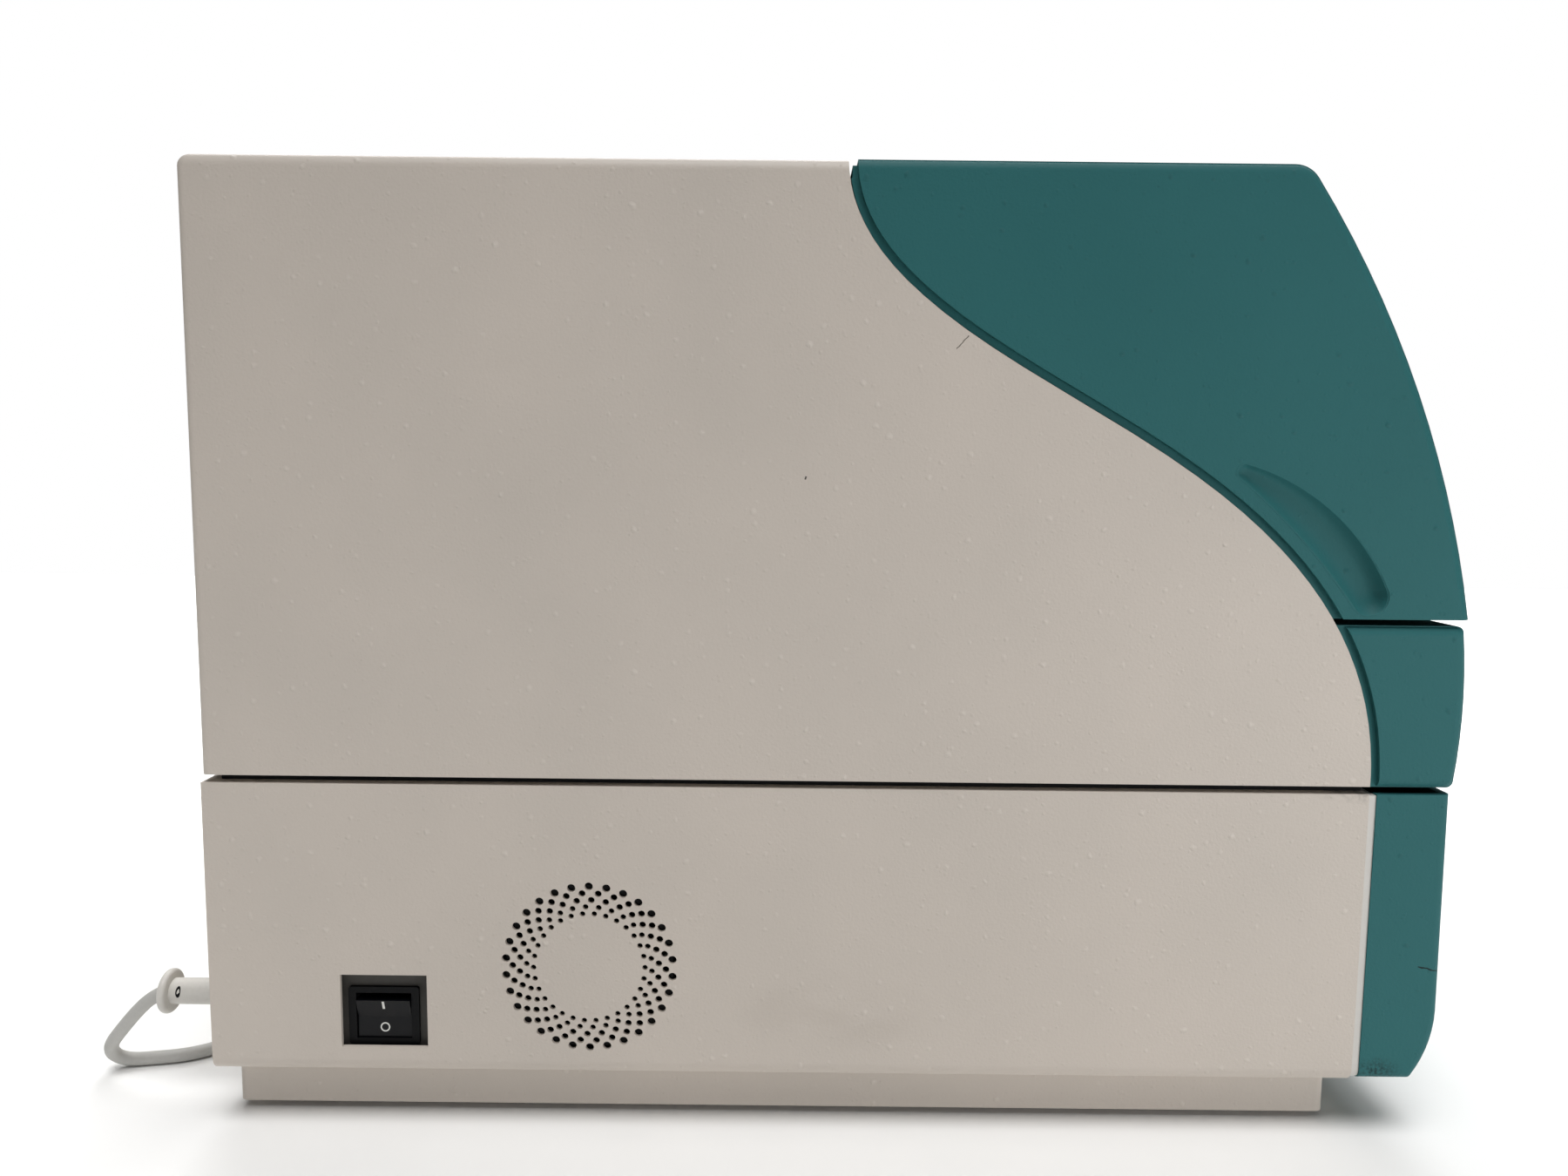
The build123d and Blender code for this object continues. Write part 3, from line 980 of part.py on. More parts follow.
def mains_inlet():
    """Inlet in its well, a serial socket, and the lead's connector with neck and collar."""
    well_y = REAR_Y - INLET_SINK
    half_w, half_h = INLET_BODY_WIDE / 2, INLET_BODY_HIGH / 2
    flange_y = well_y + SHEET
    inlet = block(INLET_X - half_w - 2.5, INLET_X + half_w + 2.5, well_y, flange_y, INLET_Z - half_h - 2.5, INLET_Z + half_h + 2.5)
    inlet += block(INLET_X - half_w, INLET_X + half_w, well_y - INLET_BODY_DEEP, well_y, INLET_Z - half_h, INLET_Z + half_h)
    nose_w, nose_h = half_w - 2.2, half_h - 2.2
    nose_rear = flange_y - NOSE_LONG
    inlet -= block(INLET_X - nose_w - SEAT, INLET_X + nose_w + SEAT, nose_rear - SEAT, flange_y + 1, INLET_Z - nose_h - SEAT, INLET_Z + nose_h + SEAT)
    pins, slots = [], []
    for step in (-1, 0, 1):
        x, z = INLET_X + step * 7, INLET_Z + (2 if step == 0 else -1)
        pins.append(block(x - 1, x + 1, nose_rear - SEAT, flange_y - 2, z - 2, z + 2))
        slots.append(block(x - 1 - SEAT, x + 1 + SEAT, nose_rear - SEAT, flange_y - 1, z - 2 - SEAT, z + 2 + SEAT))
    inlet += pins
    plug = block(INLET_X - nose_w, INLET_X + nose_w, nose_rear, flange_y, INLET_Z - nose_h, INLET_Z + nose_h)
    body = block(INLET_X - half_w + 0.5, INLET_X + half_w - 0.5, flange_y + SEAT, REAR_Y - SEAT, INLET_Z - half_h + 0.5, INLET_Z + half_h - 0.5)
    body = fillet(body.edges().filter_by(Axis.Y), 3)
    plug += block(INLET_X - nose_w, INLET_X + nose_w, flange_y, flange_y + 2, INLET_Z - nose_h, INLET_Z + nose_h)
    plug = plug + body - slots
    plug += rod_y(NECK_RADIUS, REAR_Y - 2, NECK_END_Y, INLET_X, INLET_Z)
    collar = rod_y(COLLAR_RADIUS, NECK_END_Y, NECK_END_Y + COLLAR_LONG, INLET_X, INLET_Z)
    collar = fillet(collar.edges().filter_by(GeomType.CIRCLE), COLLAR_LONG * 0.45)
    keep("lead_connector", plug + collar)
    port = block(PORT_X - PORT_WIDE / 2, PORT_X + PORT_WIDE / 2, REAR_Y - 12, REAR_Y - SEAT, PORT_Z - PORT_HIGH / 2, PORT_Z + PORT_HIGH / 2)
    port -= block(PORT_X - PORT_WIDE / 2 + 3, PORT_X + PORT_WIDE / 2 - 3, REAR_Y - 7, REAR_Y, PORT_Z - PORT_HIGH / 2 + 2, PORT_Z + PORT_HIGH / 2 - 2)
    keep("rear_sockets", inlet, port)


def tube_along(points, name):
    """A round cord along straight runs joined by arcs as large as the runs allow."""
    corners = [Vector(*point) for point in points]
    radii = []
    for before, here, after in zip(corners, corners[1:], corners[2:]):
        turn = math.radians((here - before).get_angle(after - here))
        shorter = min((here - before).length, (after - here).length)
        radii.append(0.45 * shorter / math.tan(turn / 2))
    print(name, "radii", [round(radius, 1) for radius in radii])
    path = FilletPolyline(*points, radius=radii)
    section = Plane(origin=path @ 0, z_dir=path % 0) * Circle(CORD_RADIUS)
    tube = sweep(section, path=path)
    even = tube.volume / (math.pi * CORD_RADIUS**2 * path.length)
    print(name, "length", round(path.length, 1), "volume over section times length", round(even, 4))
    return tube


def mains_lead():
    """The lead's free length, its put-away coil and the plug at its far end."""
    keep("mains_lead", tube_along(LEAD_RUN, "run"), tube_along(LEAD_TAIL, "tail"))
    inner = COIL_MID_RADIUS - COIL_ROWS * CORD_RADIUS
    outer = COIL_MID_RADIUS + COIL_ROWS * CORD_RADIUS
    height = 2 * COIL_ROWS * CORD_RADIUS
    coil = rod_z(outer, 0, height, COIL_X, COIL_Y) - rod_z(inner, -1, height + 1, COIL_X, COIL_Y)
    coil = fillet(coil.edges().filter_by(GeomType.CIRCLE), CORD_RADIUS)
    keep("lead_coil", coil)
    x, y, z = LEAD_TAIL[-1]
    body_x = x + RELIEF_LONG
    relief = Pos(x + RELIEF_LONG / 2, y, z) * Rot(0, 90, 0) * Cone(CORD_RADIUS + 2, CORD_RADIUS + 5, RELIEF_LONG)
    body = rod_x(PLUG_RADIUS, body_x, body_x + PLUG_LONG, y, z)
    body = fillet(body.edges().filter_by(GeomType.CIRCLE), 2.5)
    face = body_x + PLUG_LONG
    pins = []
    for side in (-1, 1):
        pin = rod_x(PIN_RADIUS, face, face + PIN_LONG, y + side * PIN_SPREAD, z)
        pins.append(fillet(pin.edges().filter_by(GeomType.CIRCLE).sort_by(Axis.X)[-1], PIN_RADIUS * 0.9))
    keep("mains_plug", body + relief + pins)


def build():
    """Makes every node and writes each to its own file."""
    base()
    lower_case()
    upper_cover()
    rear_panel()
    front_shells()
    hood()
    inner_frame()
    belt_motor = transport()
    plate_door()
    optics(belt_motor)
    injector_bay()
    electrics()
    mains_switch()
    mains_inlet()
    mains_lead()
    os.makedirs("parts", exist_ok=True)
    for name, shape in PARTS.items():
        export_step(shape, f"parts/{name}.step")


build()
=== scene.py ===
import math

import bpy
import numpy as np
from mathutils import Matrix, Vector


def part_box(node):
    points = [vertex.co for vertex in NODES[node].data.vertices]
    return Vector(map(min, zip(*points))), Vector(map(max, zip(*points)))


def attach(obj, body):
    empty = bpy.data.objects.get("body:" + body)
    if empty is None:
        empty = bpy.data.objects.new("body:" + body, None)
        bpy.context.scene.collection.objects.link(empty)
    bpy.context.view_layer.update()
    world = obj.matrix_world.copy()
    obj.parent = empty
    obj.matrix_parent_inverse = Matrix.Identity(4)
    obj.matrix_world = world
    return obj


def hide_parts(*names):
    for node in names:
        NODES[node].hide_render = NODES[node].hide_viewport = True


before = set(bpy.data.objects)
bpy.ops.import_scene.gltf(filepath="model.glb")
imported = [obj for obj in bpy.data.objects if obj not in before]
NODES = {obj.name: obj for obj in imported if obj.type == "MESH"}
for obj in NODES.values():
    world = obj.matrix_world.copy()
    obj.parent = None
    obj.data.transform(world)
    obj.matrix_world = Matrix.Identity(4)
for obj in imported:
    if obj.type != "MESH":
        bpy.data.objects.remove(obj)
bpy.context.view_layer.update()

MM = 0.001

# ---------------------------------------------------------------- places

# In metres: the sides of the case, the hood's front and lower edge, and the rocker's box.
SIDE_X = 0.210
NOSE_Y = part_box("hood")[0].y
HOOD_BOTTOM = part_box("hood")[0].z
ROCKER_LOW, ROCKER_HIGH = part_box("rocker")

# The finger recess in the hood's side, in millimetres behind the nose and above the
# hood's lower edge: the outer edge, the lower bowl, the inner edge and the upper tip.
RECESS_OUTER = ((80.7, 53.0), (53.9, 39.8), (29.8, 9.7))
RECESS_BOWL = ((29.8, 9.7), (33.0, 2.0), (41.6, 4.5))
RECESS_INNER = ((41.6, 4.5), (61.7, 28.8), (84.0, 49.3))
RECESS_TIP = ((84.0, 49.3), (83.1, 52.2), (80.7, 53.0))
RECESS_BACK = 4.45
BOWL_DEPTH = 4.35
TIP_DEPTH = 2.2
DEEPENS = 0.8
LIP_WIDTH = 0.30
LIP_BELOW, LIP_ABOVE = 0.10, -0.03
BACK_INSET = 0.1
EDGE_POINTS = 48
HEART_PLACE = 0.62
HEART_ENDS = slice(14, -12)
WALL_STEEPNESS = 3.4
DISH_SHARES = (0.985, 0.96, 0.92, 0.86, 0.79, 0.71, 0.62, 0.52, 0.41, 0.29, 0.16, 0.03)

# The rocker, in millimetres but for its pivot in metres: its face has a waist over the
# pivot, and its two flat halves rise from there to their ends.
ROCKER_TILT = math.radians(8.0)
PIVOT_X, PIVOT_Z = -0.200, 0.0402
FACE_WAIST, FACE_REACH, FACE_HALF = 6.2, 7.4, 7.3
PRINT_HIGH, PRINT_DEEP = 0.06, -0.05
BAR_PLACE, BAR_HALF_WIDTH, BAR_HALF_LENGTH, BAR_BEVEL = 5.3, 0.42, 1.65, 0.2
RING_PLACE, RING_OUTER, RING_INNER = -3.9, 1.75, 1.28
RING_POINTS = 40

# The mains lead, in millimetres: from the collar down to the table and along the rear,
# round its coil, and over the coil's top to the plug. The coil's section is three columns
# of three layers, and the lead takes its places in the order of COIL_CELLS.
CORD_RADIUS = 2.6
LEAD_RUN = (
    (-182, 253, 36.4), (-182, 258.5, 34), (-181, 265.5, 27.5), (-179.5, 272.5, 19.5),
    (-177, 279.3, 11.5), (-174.5, 279.8, 6), (-172, 275, 2.6), (-170.5, 266, 2.6),
    (-168, 254, 2.6), (-161, 243.5, 2.6), (-147, 237, 2.6), (-126, 233, 2.6),
    (-98, 231.5, 2.6), (-66, 231, 2.6), (-34, 230.8, 2.6),
)
LEAD_TAIL = ((0, 241.3, 18.2), (20, 242.3, 18.4), (38, 244.5, 18.5), (56, 246, 18.5))
COIL_CENTRE = (-20, 266)
COIL_COLUMNS = np.array((35.2, 30.0, 24.8))
COIL_LAYERS = np.array((2.6, 7.8, 13.0))
COIL_CELLS = (
    (0, 0), (1, 0), (2, 0), (2, 1), (1, 1), (0, 1), (0, 2), (1, 2), (2, 2),
)
# The part of each turn in which the lead moves over to its next place.
COIL_MOVES = (
    (0.75, 1.00), (0.75, 1.00), (0.61, 0.75), (0.36, 0.61),
    (0.36, 0.61), (0.22, 0.36), (0.00, 0.22), (0.00, 0.22),
)
CLIMB_FROM, CLIMB = 0.6, 4.6
COIL_TOP = 18.0
POINTS_PER_TURN = 20

# The oval slot beside the connector's collar, in millimetres: the connector's line, the
# slot's place along it, its half sizes, and how far round from +X it lies.
CONNECTOR_X, CONNECTOR_Z = -182.0, 36.4
SLOT_Y, SLOT_HALF_WIDTH, SLOT_HALF_LENGTH = 246.2, 0.95, 2.2
SLOT_BOTTOM, SLOT_TOP, SLOT_RADIUS, SLOT_INSET = 4.6, 4.93, 4.9, 0.7
SLOT_ROUND = math.radians(160)
SLOT_POINTS = 28

# ---------------------------------------------------------------- materials

# The sockets of the colour Mix node, whose names each stand for several sockets.
SHARE, FIRST, SECOND, MIXED = 0, 6, 7, 2


def linear(colour):
    """One sRGB hex colour as linear red, green and blue with a full alpha."""
    parts = [int(colour[i:i + 2], 16) / 255 for i in (1, 3, 5)]
    return (*(p / 12.92 if p <= 0.04045 else ((p + 0.055) / 1.055) ** 2.4 for p in parts), 1.0)


def add(tree, kind, inputs=None, **settings):
    """Adds a node. A socket among the inputs is linked, and any other value is set."""
    node = tree.nodes.new("ShaderNode" + kind)
    for name, value in settings.items():
        setattr(node, name, value)
    for name, value in (inputs or {}).items():
        if isinstance(value, bpy.types.NodeSocket):
            tree.links.new(value, node.inputs[name])
        else:
            node.inputs[name].default_value = value
    return node


def start(name, roughness, metallic=0.0, level=0.5):
    """A named material with its shader, and the object's own coordinates in metres."""
    material = bpy.data.materials.new(name)
    material.use_nodes = True
    tree = material.node_tree
    shader = tree.nodes["Principled BSDF"]
    shader.inputs["Roughness"].default_value = roughness
    shader.inputs["Metallic"].default_value = metallic
    shader.inputs["Specular IOR Level"].default_value = level
    return material, tree, shader, add(tree, "TexCoord").outputs["Object"]


def surface(tree, shader, colour, height):
    """Links a colour and a relief in metres to the shader."""
    tree.links.new(colour, shader.inputs["Base Color"])
    bump = add(tree, "Bump", {"Height": height, "Distance": 1.0, "Strength": 1.0})
    tree.links.new(bump.outputs[0], shader.inputs["Normal"])


# The drops of the structured coat: their spacing in millimetres, the largest drop's radius
# as a share of it, their height, the grain's size and height, and how far drops wander.
LARGE_SPACING, LARGE_RADIUS, LARGE_HEIGHT = 4.6, 0.30, 0.30
SMALL_SPACING, SMALL_RADIUS, SMALL_HEIGHT = 2.6, 0.34, 0.16
GRAIN_SIZE, GRAIN_HEIGHT = 1.1, 0.12
CLOUD_SIZE = 70
BEND_SIZE, BEND = 2.2, 1.2
# The share of the large drops' own tint: lighter on the beige coat as a painted highlight, darker
# on the teal as its tone.
DROP_HIGHLIGHT_AND_TONE = 0.35


def drops(tree, where, spacing, largest, share):
    """Round drops in the paint: near the points of a scattered cell pattern, a drop stands as
    high as its own radius less the distance, and only some of the cells have one."""
    bend = add(tree, "TexNoise", {"Vector": where, "Scale": 1 / (BEND_SIZE * MM), "Detail": 1.0})
    moved = add(tree, "VectorMath", {0: bend.outputs["Color"], 1: (BEND * MM,) * 3},
                operation="MULTIPLY")
    at = add(tree, "VectorMath", {0: where, 1: moved.outputs[0]}, operation="ADD")
    cells = add(tree, "TexVoronoi", {"Vector": at.outputs[0], "Scale": 1 / (spacing * MM)})
    # The cell colour's red is its point's place along X, so the chance is its green.
    chance = add(tree, "SeparateColor", {0: cells.outputs["Color"]}).outputs["Green"]
    radius = add(tree, "MapRange", {"Value": chance, "From Min": 1 - share, "From Max": 1.0,
                                    "To Min": 0.0, "To Max": largest})
    rise = add(tree, "Math", {0: radius.outputs[0], 1: cells.outputs["Distance"]},
               operation="SUBTRACT", use_clamp=True)
    return add(tree, "Math", {0: rise.outputs[0], 1: 1 / largest},
               operation="MULTIPLY", use_clamp=True).outputs[0]


def structured_coat(name, main, second, drop_highlight_and_tone, roughness, marks, drop_share, level):
    """Structured powder coat, sprayed and baked: a fine grain with scattered raised drops that
    catch the light, a slight cloudiness, and the marks of a used bench instrument. The large drops
    are tinted towards their own colour: a lighter one is a painted highlight on them, a darker one
    is their tone."""
    material, tree, shader, where = start(name, roughness, level=level)
    cloud = add(tree, "TexNoise", {"Vector": where, "Scale": 1 / (CLOUD_SIZE * MM), "Detail": 2.0})
    grain = add(tree, "TexNoise", {"Vector": where, "Scale": 1 / (GRAIN_SIZE * MM), "Detail": 2.0})
    large = drops(tree, where, LARGE_SPACING, LARGE_RADIUS, drop_share)
    small = drops(tree, where, SMALL_SPACING, SMALL_RADIUS, drop_share)
    colour = add(tree, "Mix", {SHARE: cloud.outputs["Fac"], FIRST: linear(main),
                               SECOND: linear(second)}, data_type="RGBA").outputs[MIXED]
    # The large drops take a share of their tint, which on the beige coat is a painted highlight.
    tint = add(tree, "Math", {0: large, 1: DROP_HIGHLIGHT_AND_TONE}, operation="MULTIPLY", use_clamp=True)
    colour = add(tree, "Mix", {SHARE: tint.outputs[0], FIRST: colour,
                               SECOND: linear(drop_highlight_and_tone)}, data_type="RGBA").outputs[MIXED]
    for mark in marks:
        colour = mark(tree, where, colour)
    height = 0.0
    for relief, rise in ((large, LARGE_HEIGHT), (small, SMALL_HEIGHT),
                         (grain.outputs["Fac"], GRAIN_HEIGHT)):
        height = add(tree, "Math", {0: relief, 1: rise * MM, 2: height},
                     operation="MULTIPLY_ADD").outputs[0]
    surface(tree, shader, colour, height)
    return material


def faded_patch(centre, reach, colour, strength, streak):
    """A patch that fades from its centre, broken up by a noise that is drawn out as streak says,
    in repeats a metre along each axis."""
    def mark(tree, where, under):
        spot = add(tree, "VectorMath", {0: where, 1: centre}, operation="SUBTRACT")
        scaled = add(tree, "VectorMath", {0: spot.outputs[0], 1: tuple(1 / r for r in reach)},
                     operation="MULTIPLY")
        far = add(tree, "VectorMath", {0: scaled.outputs[0]}, operation="LENGTH")
        near = add(tree, "Math", {0: 1.0, 1: far.outputs["Value"]},
                   operation="SUBTRACT", use_clamp=True)
        drawn = add(tree, "VectorMath", {0: where, 1: streak}, operation="MULTIPLY")
        noise = add(tree, "TexNoise", {"Vector": drawn.outputs[0], "Scale": 1.0, "Detail": 3.0})
        broken = add(tree, "MapRange", {"Value": noise.outputs["Fac"], "From Min": 0.38,
                                        "From Max": 0.68, "To Min": 0.0, "To Max": strength})
        share = add(tree, "Math", {0: broken.outputs[0], 1: near.outputs[0]},
                    operation="MULTIPLY", use_clamp=True)
        return add(tree, "Mix", {SHARE: share.outputs[0], FIRST: under, SECOND: linear(colour)},
                   data_type="RGBA").outputs[MIXED]
    return mark


def scratch(a, b, half_width, colour, wander):
    """A hairline mark from a to b in the side view, each given as (y, z): the colour shows
    where a point lies within half a line's width of the straight line, which wanders."""
    long = math.dist(a, b)
    along_y, along_z = (b[0] - a[0]) / long, (b[1] - a[1]) / long

    def mark(tree, where, under):
        noise = add(tree, "TexNoise", {"Vector": where, "Scale": 1 / (5 * MM), "Detail": 2.0})
        even = add(tree, "Math", {0: noise.outputs["Fac"], 1: 0.5}, operation="SUBTRACT")
        sway = add(tree, "Math", {0: even.outputs[0], 1: wander}, operation="MULTIPLY")
        spot = add(tree, "VectorMath", {0: where, 1: (0, *a)}, operation="SUBTRACT").outputs[0]
        run = add(tree, "VectorMath", {0: spot, 1: (0, along_y, along_z)},
                  operation="DOT_PRODUCT")
        side = add(tree, "VectorMath", {0: spot, 1: (0, -along_z, along_y)},
                   operation="DOT_PRODUCT")
        swayed = add(tree, "Math", {0: side.outputs["Value"], 1: sway.outputs[0]},
                     operation="ADD")
        off = add(tree, "Math", {0: swayed.outputs[0]}, operation="ABSOLUTE")
        thin = add(tree, "MapRange", {"Value": off.outputs[0], "From Min": half_width * 0.6,
                                      "From Max": half_width, "To Min": 1.0, "To Max": 0.0})
        from_middle = add(tree, "Math", {0: run.outputs["Value"], 1: long / 2},
                          operation="SUBTRACT")
        past = add(tree, "Math", {0: from_middle.outputs[0]}, operation="ABSOLUTE")
        within = add(tree, "Math", {0: past.outputs[0], 1: long / 2}, operation="LESS_THAN")
        share = add(tree, "Math", {0: thin.outputs[0], 1: within.outputs[0]},
                    operation="MULTIPLY")
        return add(tree, "Mix", {SHARE: share.outputs[0], FIRST: under, SECOND: linear(colour)},
                   data_type="RGBA").outputs[MIXED]
    return mark


def plain_finish(name, colour, second, roughness, grain_mm, height_mm,
                 metallic=0.0, level=0.5, stretch=(1, 1, 1)):
    """A finish with a fine grain: a noise of the grain's size, drawn out along one way where
    it is brushed or rolled, moves the colour and the surface a little."""
    material, tree, shader, where = start(name, roughness, metallic, level)
    drawn = add(tree, "VectorMath", {0: where, 1: stretch}, operation="MULTIPLY")
    grain = add(tree, "TexNoise", {"Vector": drawn.outputs[0], "Scale": 1 / (grain_mm * MM),
                                   "Detail": 3.0}).outputs["Fac"]
    colours = add(tree, "Mix", {SHARE: grain, FIRST: linear(colour), SECOND: linear(second)},
                  data_type="RGBA")
    height = add(tree, "Math", {0: grain, 1: height_mm * MM}, operation="MULTIPLY")
    surface(tree, shader, colours.outputs[MIXED], height.outputs[0])
    return material


def drawn_glass():
    """Clear drawn glass of the syringe barrels: smooth, with a faint green edge."""
    material, tree, shader, where = start("clear drawn glass", 0.04)
    shader.inputs["Transmission Weight"].default_value = 1.0
    shader.inputs["IOR"].default_value = 1.47
    tint = add(tree, "TexNoise", {"Vector": where, "Scale": 1 / (20 * MM)})
    colour = add(tree, "Mix", {SHARE: tint.outputs["Fac"], FIRST: linear("#EFF6F3"),
                               SECOND: linear("#E6F0EC")}, data_type="RGBA")
    tree.links.new(colour.outputs[MIXED], shader.inputs["Base Color"])
    return material


# A rubbed patch beside the vent, a broken dark band along the case's seam at its front, and two
# small scratches.
SIDE_MARKS = (
    faded_patch((-SIDE_X, -0.003, 0.044), (0.05, 0.040, 0.016), "#A3988C", 0.30, (20, 26, 60)),
    faded_patch((-SIDE_X, -0.200, 0.127), (0.05, 0.030, 0.004), "#6B6660", 0.8, (30, 500, 500)),
    scratch((-0.0415, 0.2800), (-0.0455, 0.2845), 0.00022, "#6B635B", 0.0016),
    scratch((0.0090, 0.2366), (0.0093, 0.2355), 0.00035, "#4A4440", 0.0002),
)
# A scratch on the fascia's side, and a broken near-black patch at its lower corner.
TEAL_MARKS = (
    scratch((-0.2125, 0.0643), (-0.2205, 0.0622), 0.00022, "#101C1E", 0.0022),
    faded_patch((-SIDE_X, -0.200, 0.0245), (0.05, 0.010, 0.006), "#152224", 1.0, (30, 900, 900)),
)

# Powder coat on sheet steel: dull, slightly rough, with fine drops that catch the light, tinted
# lighter as a painted highlight.
BEIGE = structured_coat("beige structured powder coat", "#CEC4BA", "#C1B9B0", "#E0D9D0",
                        0.50, SIDE_MARKS, 0.8, 0.4)
# The same coat on the moulded front, with flatter drops that only darken it here and there.
TEAL = structured_coat("teal structured paint", "#2C6668", "#286163", "#235052",
                       0.60, TEAL_MARKS, 0.5, 0.2)
# Smooth satin paint on the sheet behind the moulded front: paler than the coat and even.
PALE = plain_finish("pale satin paint", "#CFCCC7", "#C8C5C0", 0.45, 3.0, 0.004)
# Matt black paint on the inner sheet metal, which shows only as dark gaps. On the deck plate and
# the side cheeks it is also painted shade, which keeps the gaps beside the covers dark.
BLACK_PAINT_AND_GAP_SHADE = plain_finish("matt black paint", "#111213", "#17181A", 0.75, 1.5, 0.01, level=0.25)
# Moulded polyamide from a sparked tool: a fine matt grain with little shine.
BLACK_PLASTIC = plain_finish("black moulded polyamide", "#07080A", "#0B0C0E",
                             0.5, 0.8, 0.006, level=0.15)
# The rocker is moulded smoother than its frame, so its halves take a soft reflection.
ROCKER_PLASTIC = plain_finish("black moulded rocker, satin", "#06070A", "#090B10",
                              0.35, 1.2, 0.004, level=0.22)
# Bare phosphated sheet round the switch: dull dark grey.
BRACKET = plain_finish("dull dark grey sheet", "#4B4945", "#3E3C39", 0.62, 2.5, 0.03, level=0.35)
# Moulded rubber of the feet and belts: nearly black and without shine.
RUBBER = plain_finish("moulded rubber", "#17171A", "#1E1E20", 0.85, 0.9, 0.01, level=0.2)
# Ground rods: bright, with a grain that runs along them.
STEEL = plain_finish("ground steel rod", "#B9BBBD", "#C8CACC", 0.22, 0.6, 0.002,
                     metallic=1.0, stretch=(1, 0.05, 1))
# Milled and anodised aluminium: silky, with the cutter's lines across.
ALUMINIUM = plain_finish("machined aluminium, clear anodised", "#C4C6C8", "#B7B9BC",
                         0.36, 0.7, 0.004, metallic=1.0, stretch=(0.06, 1, 1))
# Zinc plate: grey metal with large faint clouds.
ZINC = plain_finish("zinc plated sheet", "#A7AAAC", "#B4B7B7", 0.38, 6.0, 0.01, metallic=1.0)
# Solder lacquer over glass fibre board: glossy green.
BOARD = plain_finish("lacquered circuit board", "#1E5A36", "#174A2C", 0.35, 4.0, 0.01)
# Moulded case plastic of the pumps and the key: plain grey, satin.
GREY_PLASTIC = plain_finish("grey moulded case", "#B3B2AE", "#A9A8A4", 0.48, 0.9, 0.006)
# Tinted clear moulding of the status lamps: smooth and pale green.
LAMP = plain_finish("tinted clear moulding", "#BFD6A8", "#A9C796", 0.18, 2.0, 0.002)
# Extruded soft vinyl of the lead: light grey with a soft shine.
CORD_VINYL = plain_finish("light grey soft vinyl", "#BDBCB8", "#B2B1AD", 0.50, 1.6, 0.012,
                          level=0.4)
# Harder moulded vinyl of the connector and the plug: paler and smoother than the lead.
CONNECTOR_VINYL = plain_finish("pale moulded vinyl", "#D5D2CC", "#CBC8C2", 0.42, 1.2, 0.008,
                               level=0.45)
# Pad printing on the rocker: flat white ink.
WHITE_PRINT = plain_finish("white printed marking", "#E8E8E4", "#DDDDD8", 0.5, 0.6, 0.002)

FINISHES = {
    BEIGE: ("upper_cover", "lower_case", "base_tray", "rear_panel"),
    TEAL: ("hood", "front_band", "lower_fascia"),
    PALE: ("front_plate",),
    # The deck plate and the side cheeks are black as painted shade for the gaps beside them.
    BLACK_PAINT_AND_GAP_SHADE: ("deck_plate", "bay_liner", "side_cheeks", "optics_bridge", "plate_shutter",
                  "optic_head", "shutter_guides", "filter_stands"),
    BLACK_PLASTIC: ("rear_screws", "fan_frame", "fan_impeller", "rear_sockets", "switch_body",
                    "stepper_motors", "x_motor", "reagent_rack", "key_switch", "light_guides",
                    "excitation_wheel", "emission_wheel"),
    ROCKER_PLASTIC: ("rocker",),
    BRACKET: ("switch_bracket",),
    RUBBER: ("feet", "x_belt", "y_belt"),
    STEEL: ("hinge_pins", "x_rods", "y_rods", "plunger_1", "plunger_2"),
    ALUMINIUM: ("y_carriage", "plate_carrier", "rail_blocks", "x_pulley", "x_idler", "y_pulley",
                "y_idler", "lower_sensor"),
    ZINC: ("power_supply", "flash_lamp", "light_detector", "board_standoffs"),
    BOARD: ("main_board",),
    GREY_PLASTIC: ("injector_pumps", "plate_key"),
    LAMP: ("status_lamps",),
    drawn_glass(): ("syringe_barrels",),
    CONNECTOR_VINYL: ("lead_connector", "mains_plug"),
}


def dress(obj, material):
    """Gives an object one material."""
    obj.data.materials.clear()
    obj.data.materials.append(material)


for finish, names in FINISHES.items():
    for node_name in names:
        dress(NODES[node_name], finish)

# ---------------------------------------------------------------- surfaces


def grid_piece(name, points, material, body, around=False, flip=False, smooth=True):
    """A mesh from a grid of points in metres, rows by columns. Where it goes around, it is
    closed round its columns, and its first and last rows by a face each."""
    rows, columns = points.shape[:2]
    index = np.arange(rows * columns).reshape(rows, columns)
    across = np.concatenate([index, index[:, :1]], axis=1) if around else index
    quads = np.stack([across[:-1, :-1], across[:-1, 1:], across[1:, 1:], across[1:, :-1]], axis=-1)
    faces = quads.reshape(-1, 4).tolist()
    if around:
        faces += [index[0, ::-1].tolist(), index[-1].tolist()]
    if flip:
        faces = [face[::-1] for face in faces]
    mesh = bpy.data.meshes.new(name)
    mesh.from_pydata(points.reshape(-1, 3).tolist(), [], faces)
    mesh.update()
    if smooth:
        mesh.shade_smooth()
    piece = bpy.data.objects.new(name, mesh)
    bpy.context.scene.collection.objects.link(piece)
    dress(piece, material)
    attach(piece, body)
    return piece


def arc_through(points, count):
    """Evenly turned points on the circle through three points, from the first up to the last.
    The centre is the place as far from all three, by the usual formula of the circumcentre."""
    (ax, ay), (bx, by), (cx, cy) = points
    d = 2 * (ax * (by - cy) + bx * (cy - ay) + cx * (ay - by))
    a2, b2, c2 = ax * ax + ay * ay, bx * bx + by * by, cx * cx + cy * cy
    ux = (a2 * (by - cy) + b2 * (cy - ay) + c2 * (ay - by)) / d
    uy = (a2 * (cx - bx) + b2 * (ax - cx) + c2 * (bx - ax)) / d
    angles = np.unwrap([math.atan2(y - uy, x - ux) for x, y in points])
    turn = np.linspace(angles[0], angles[-1], count, endpoint=False)
    radius = math.hypot(ax - ux, ay - uy)
    return np.stack([ux + radius * np.cos(turn), uy + radius * np.sin(turn)], axis=1)


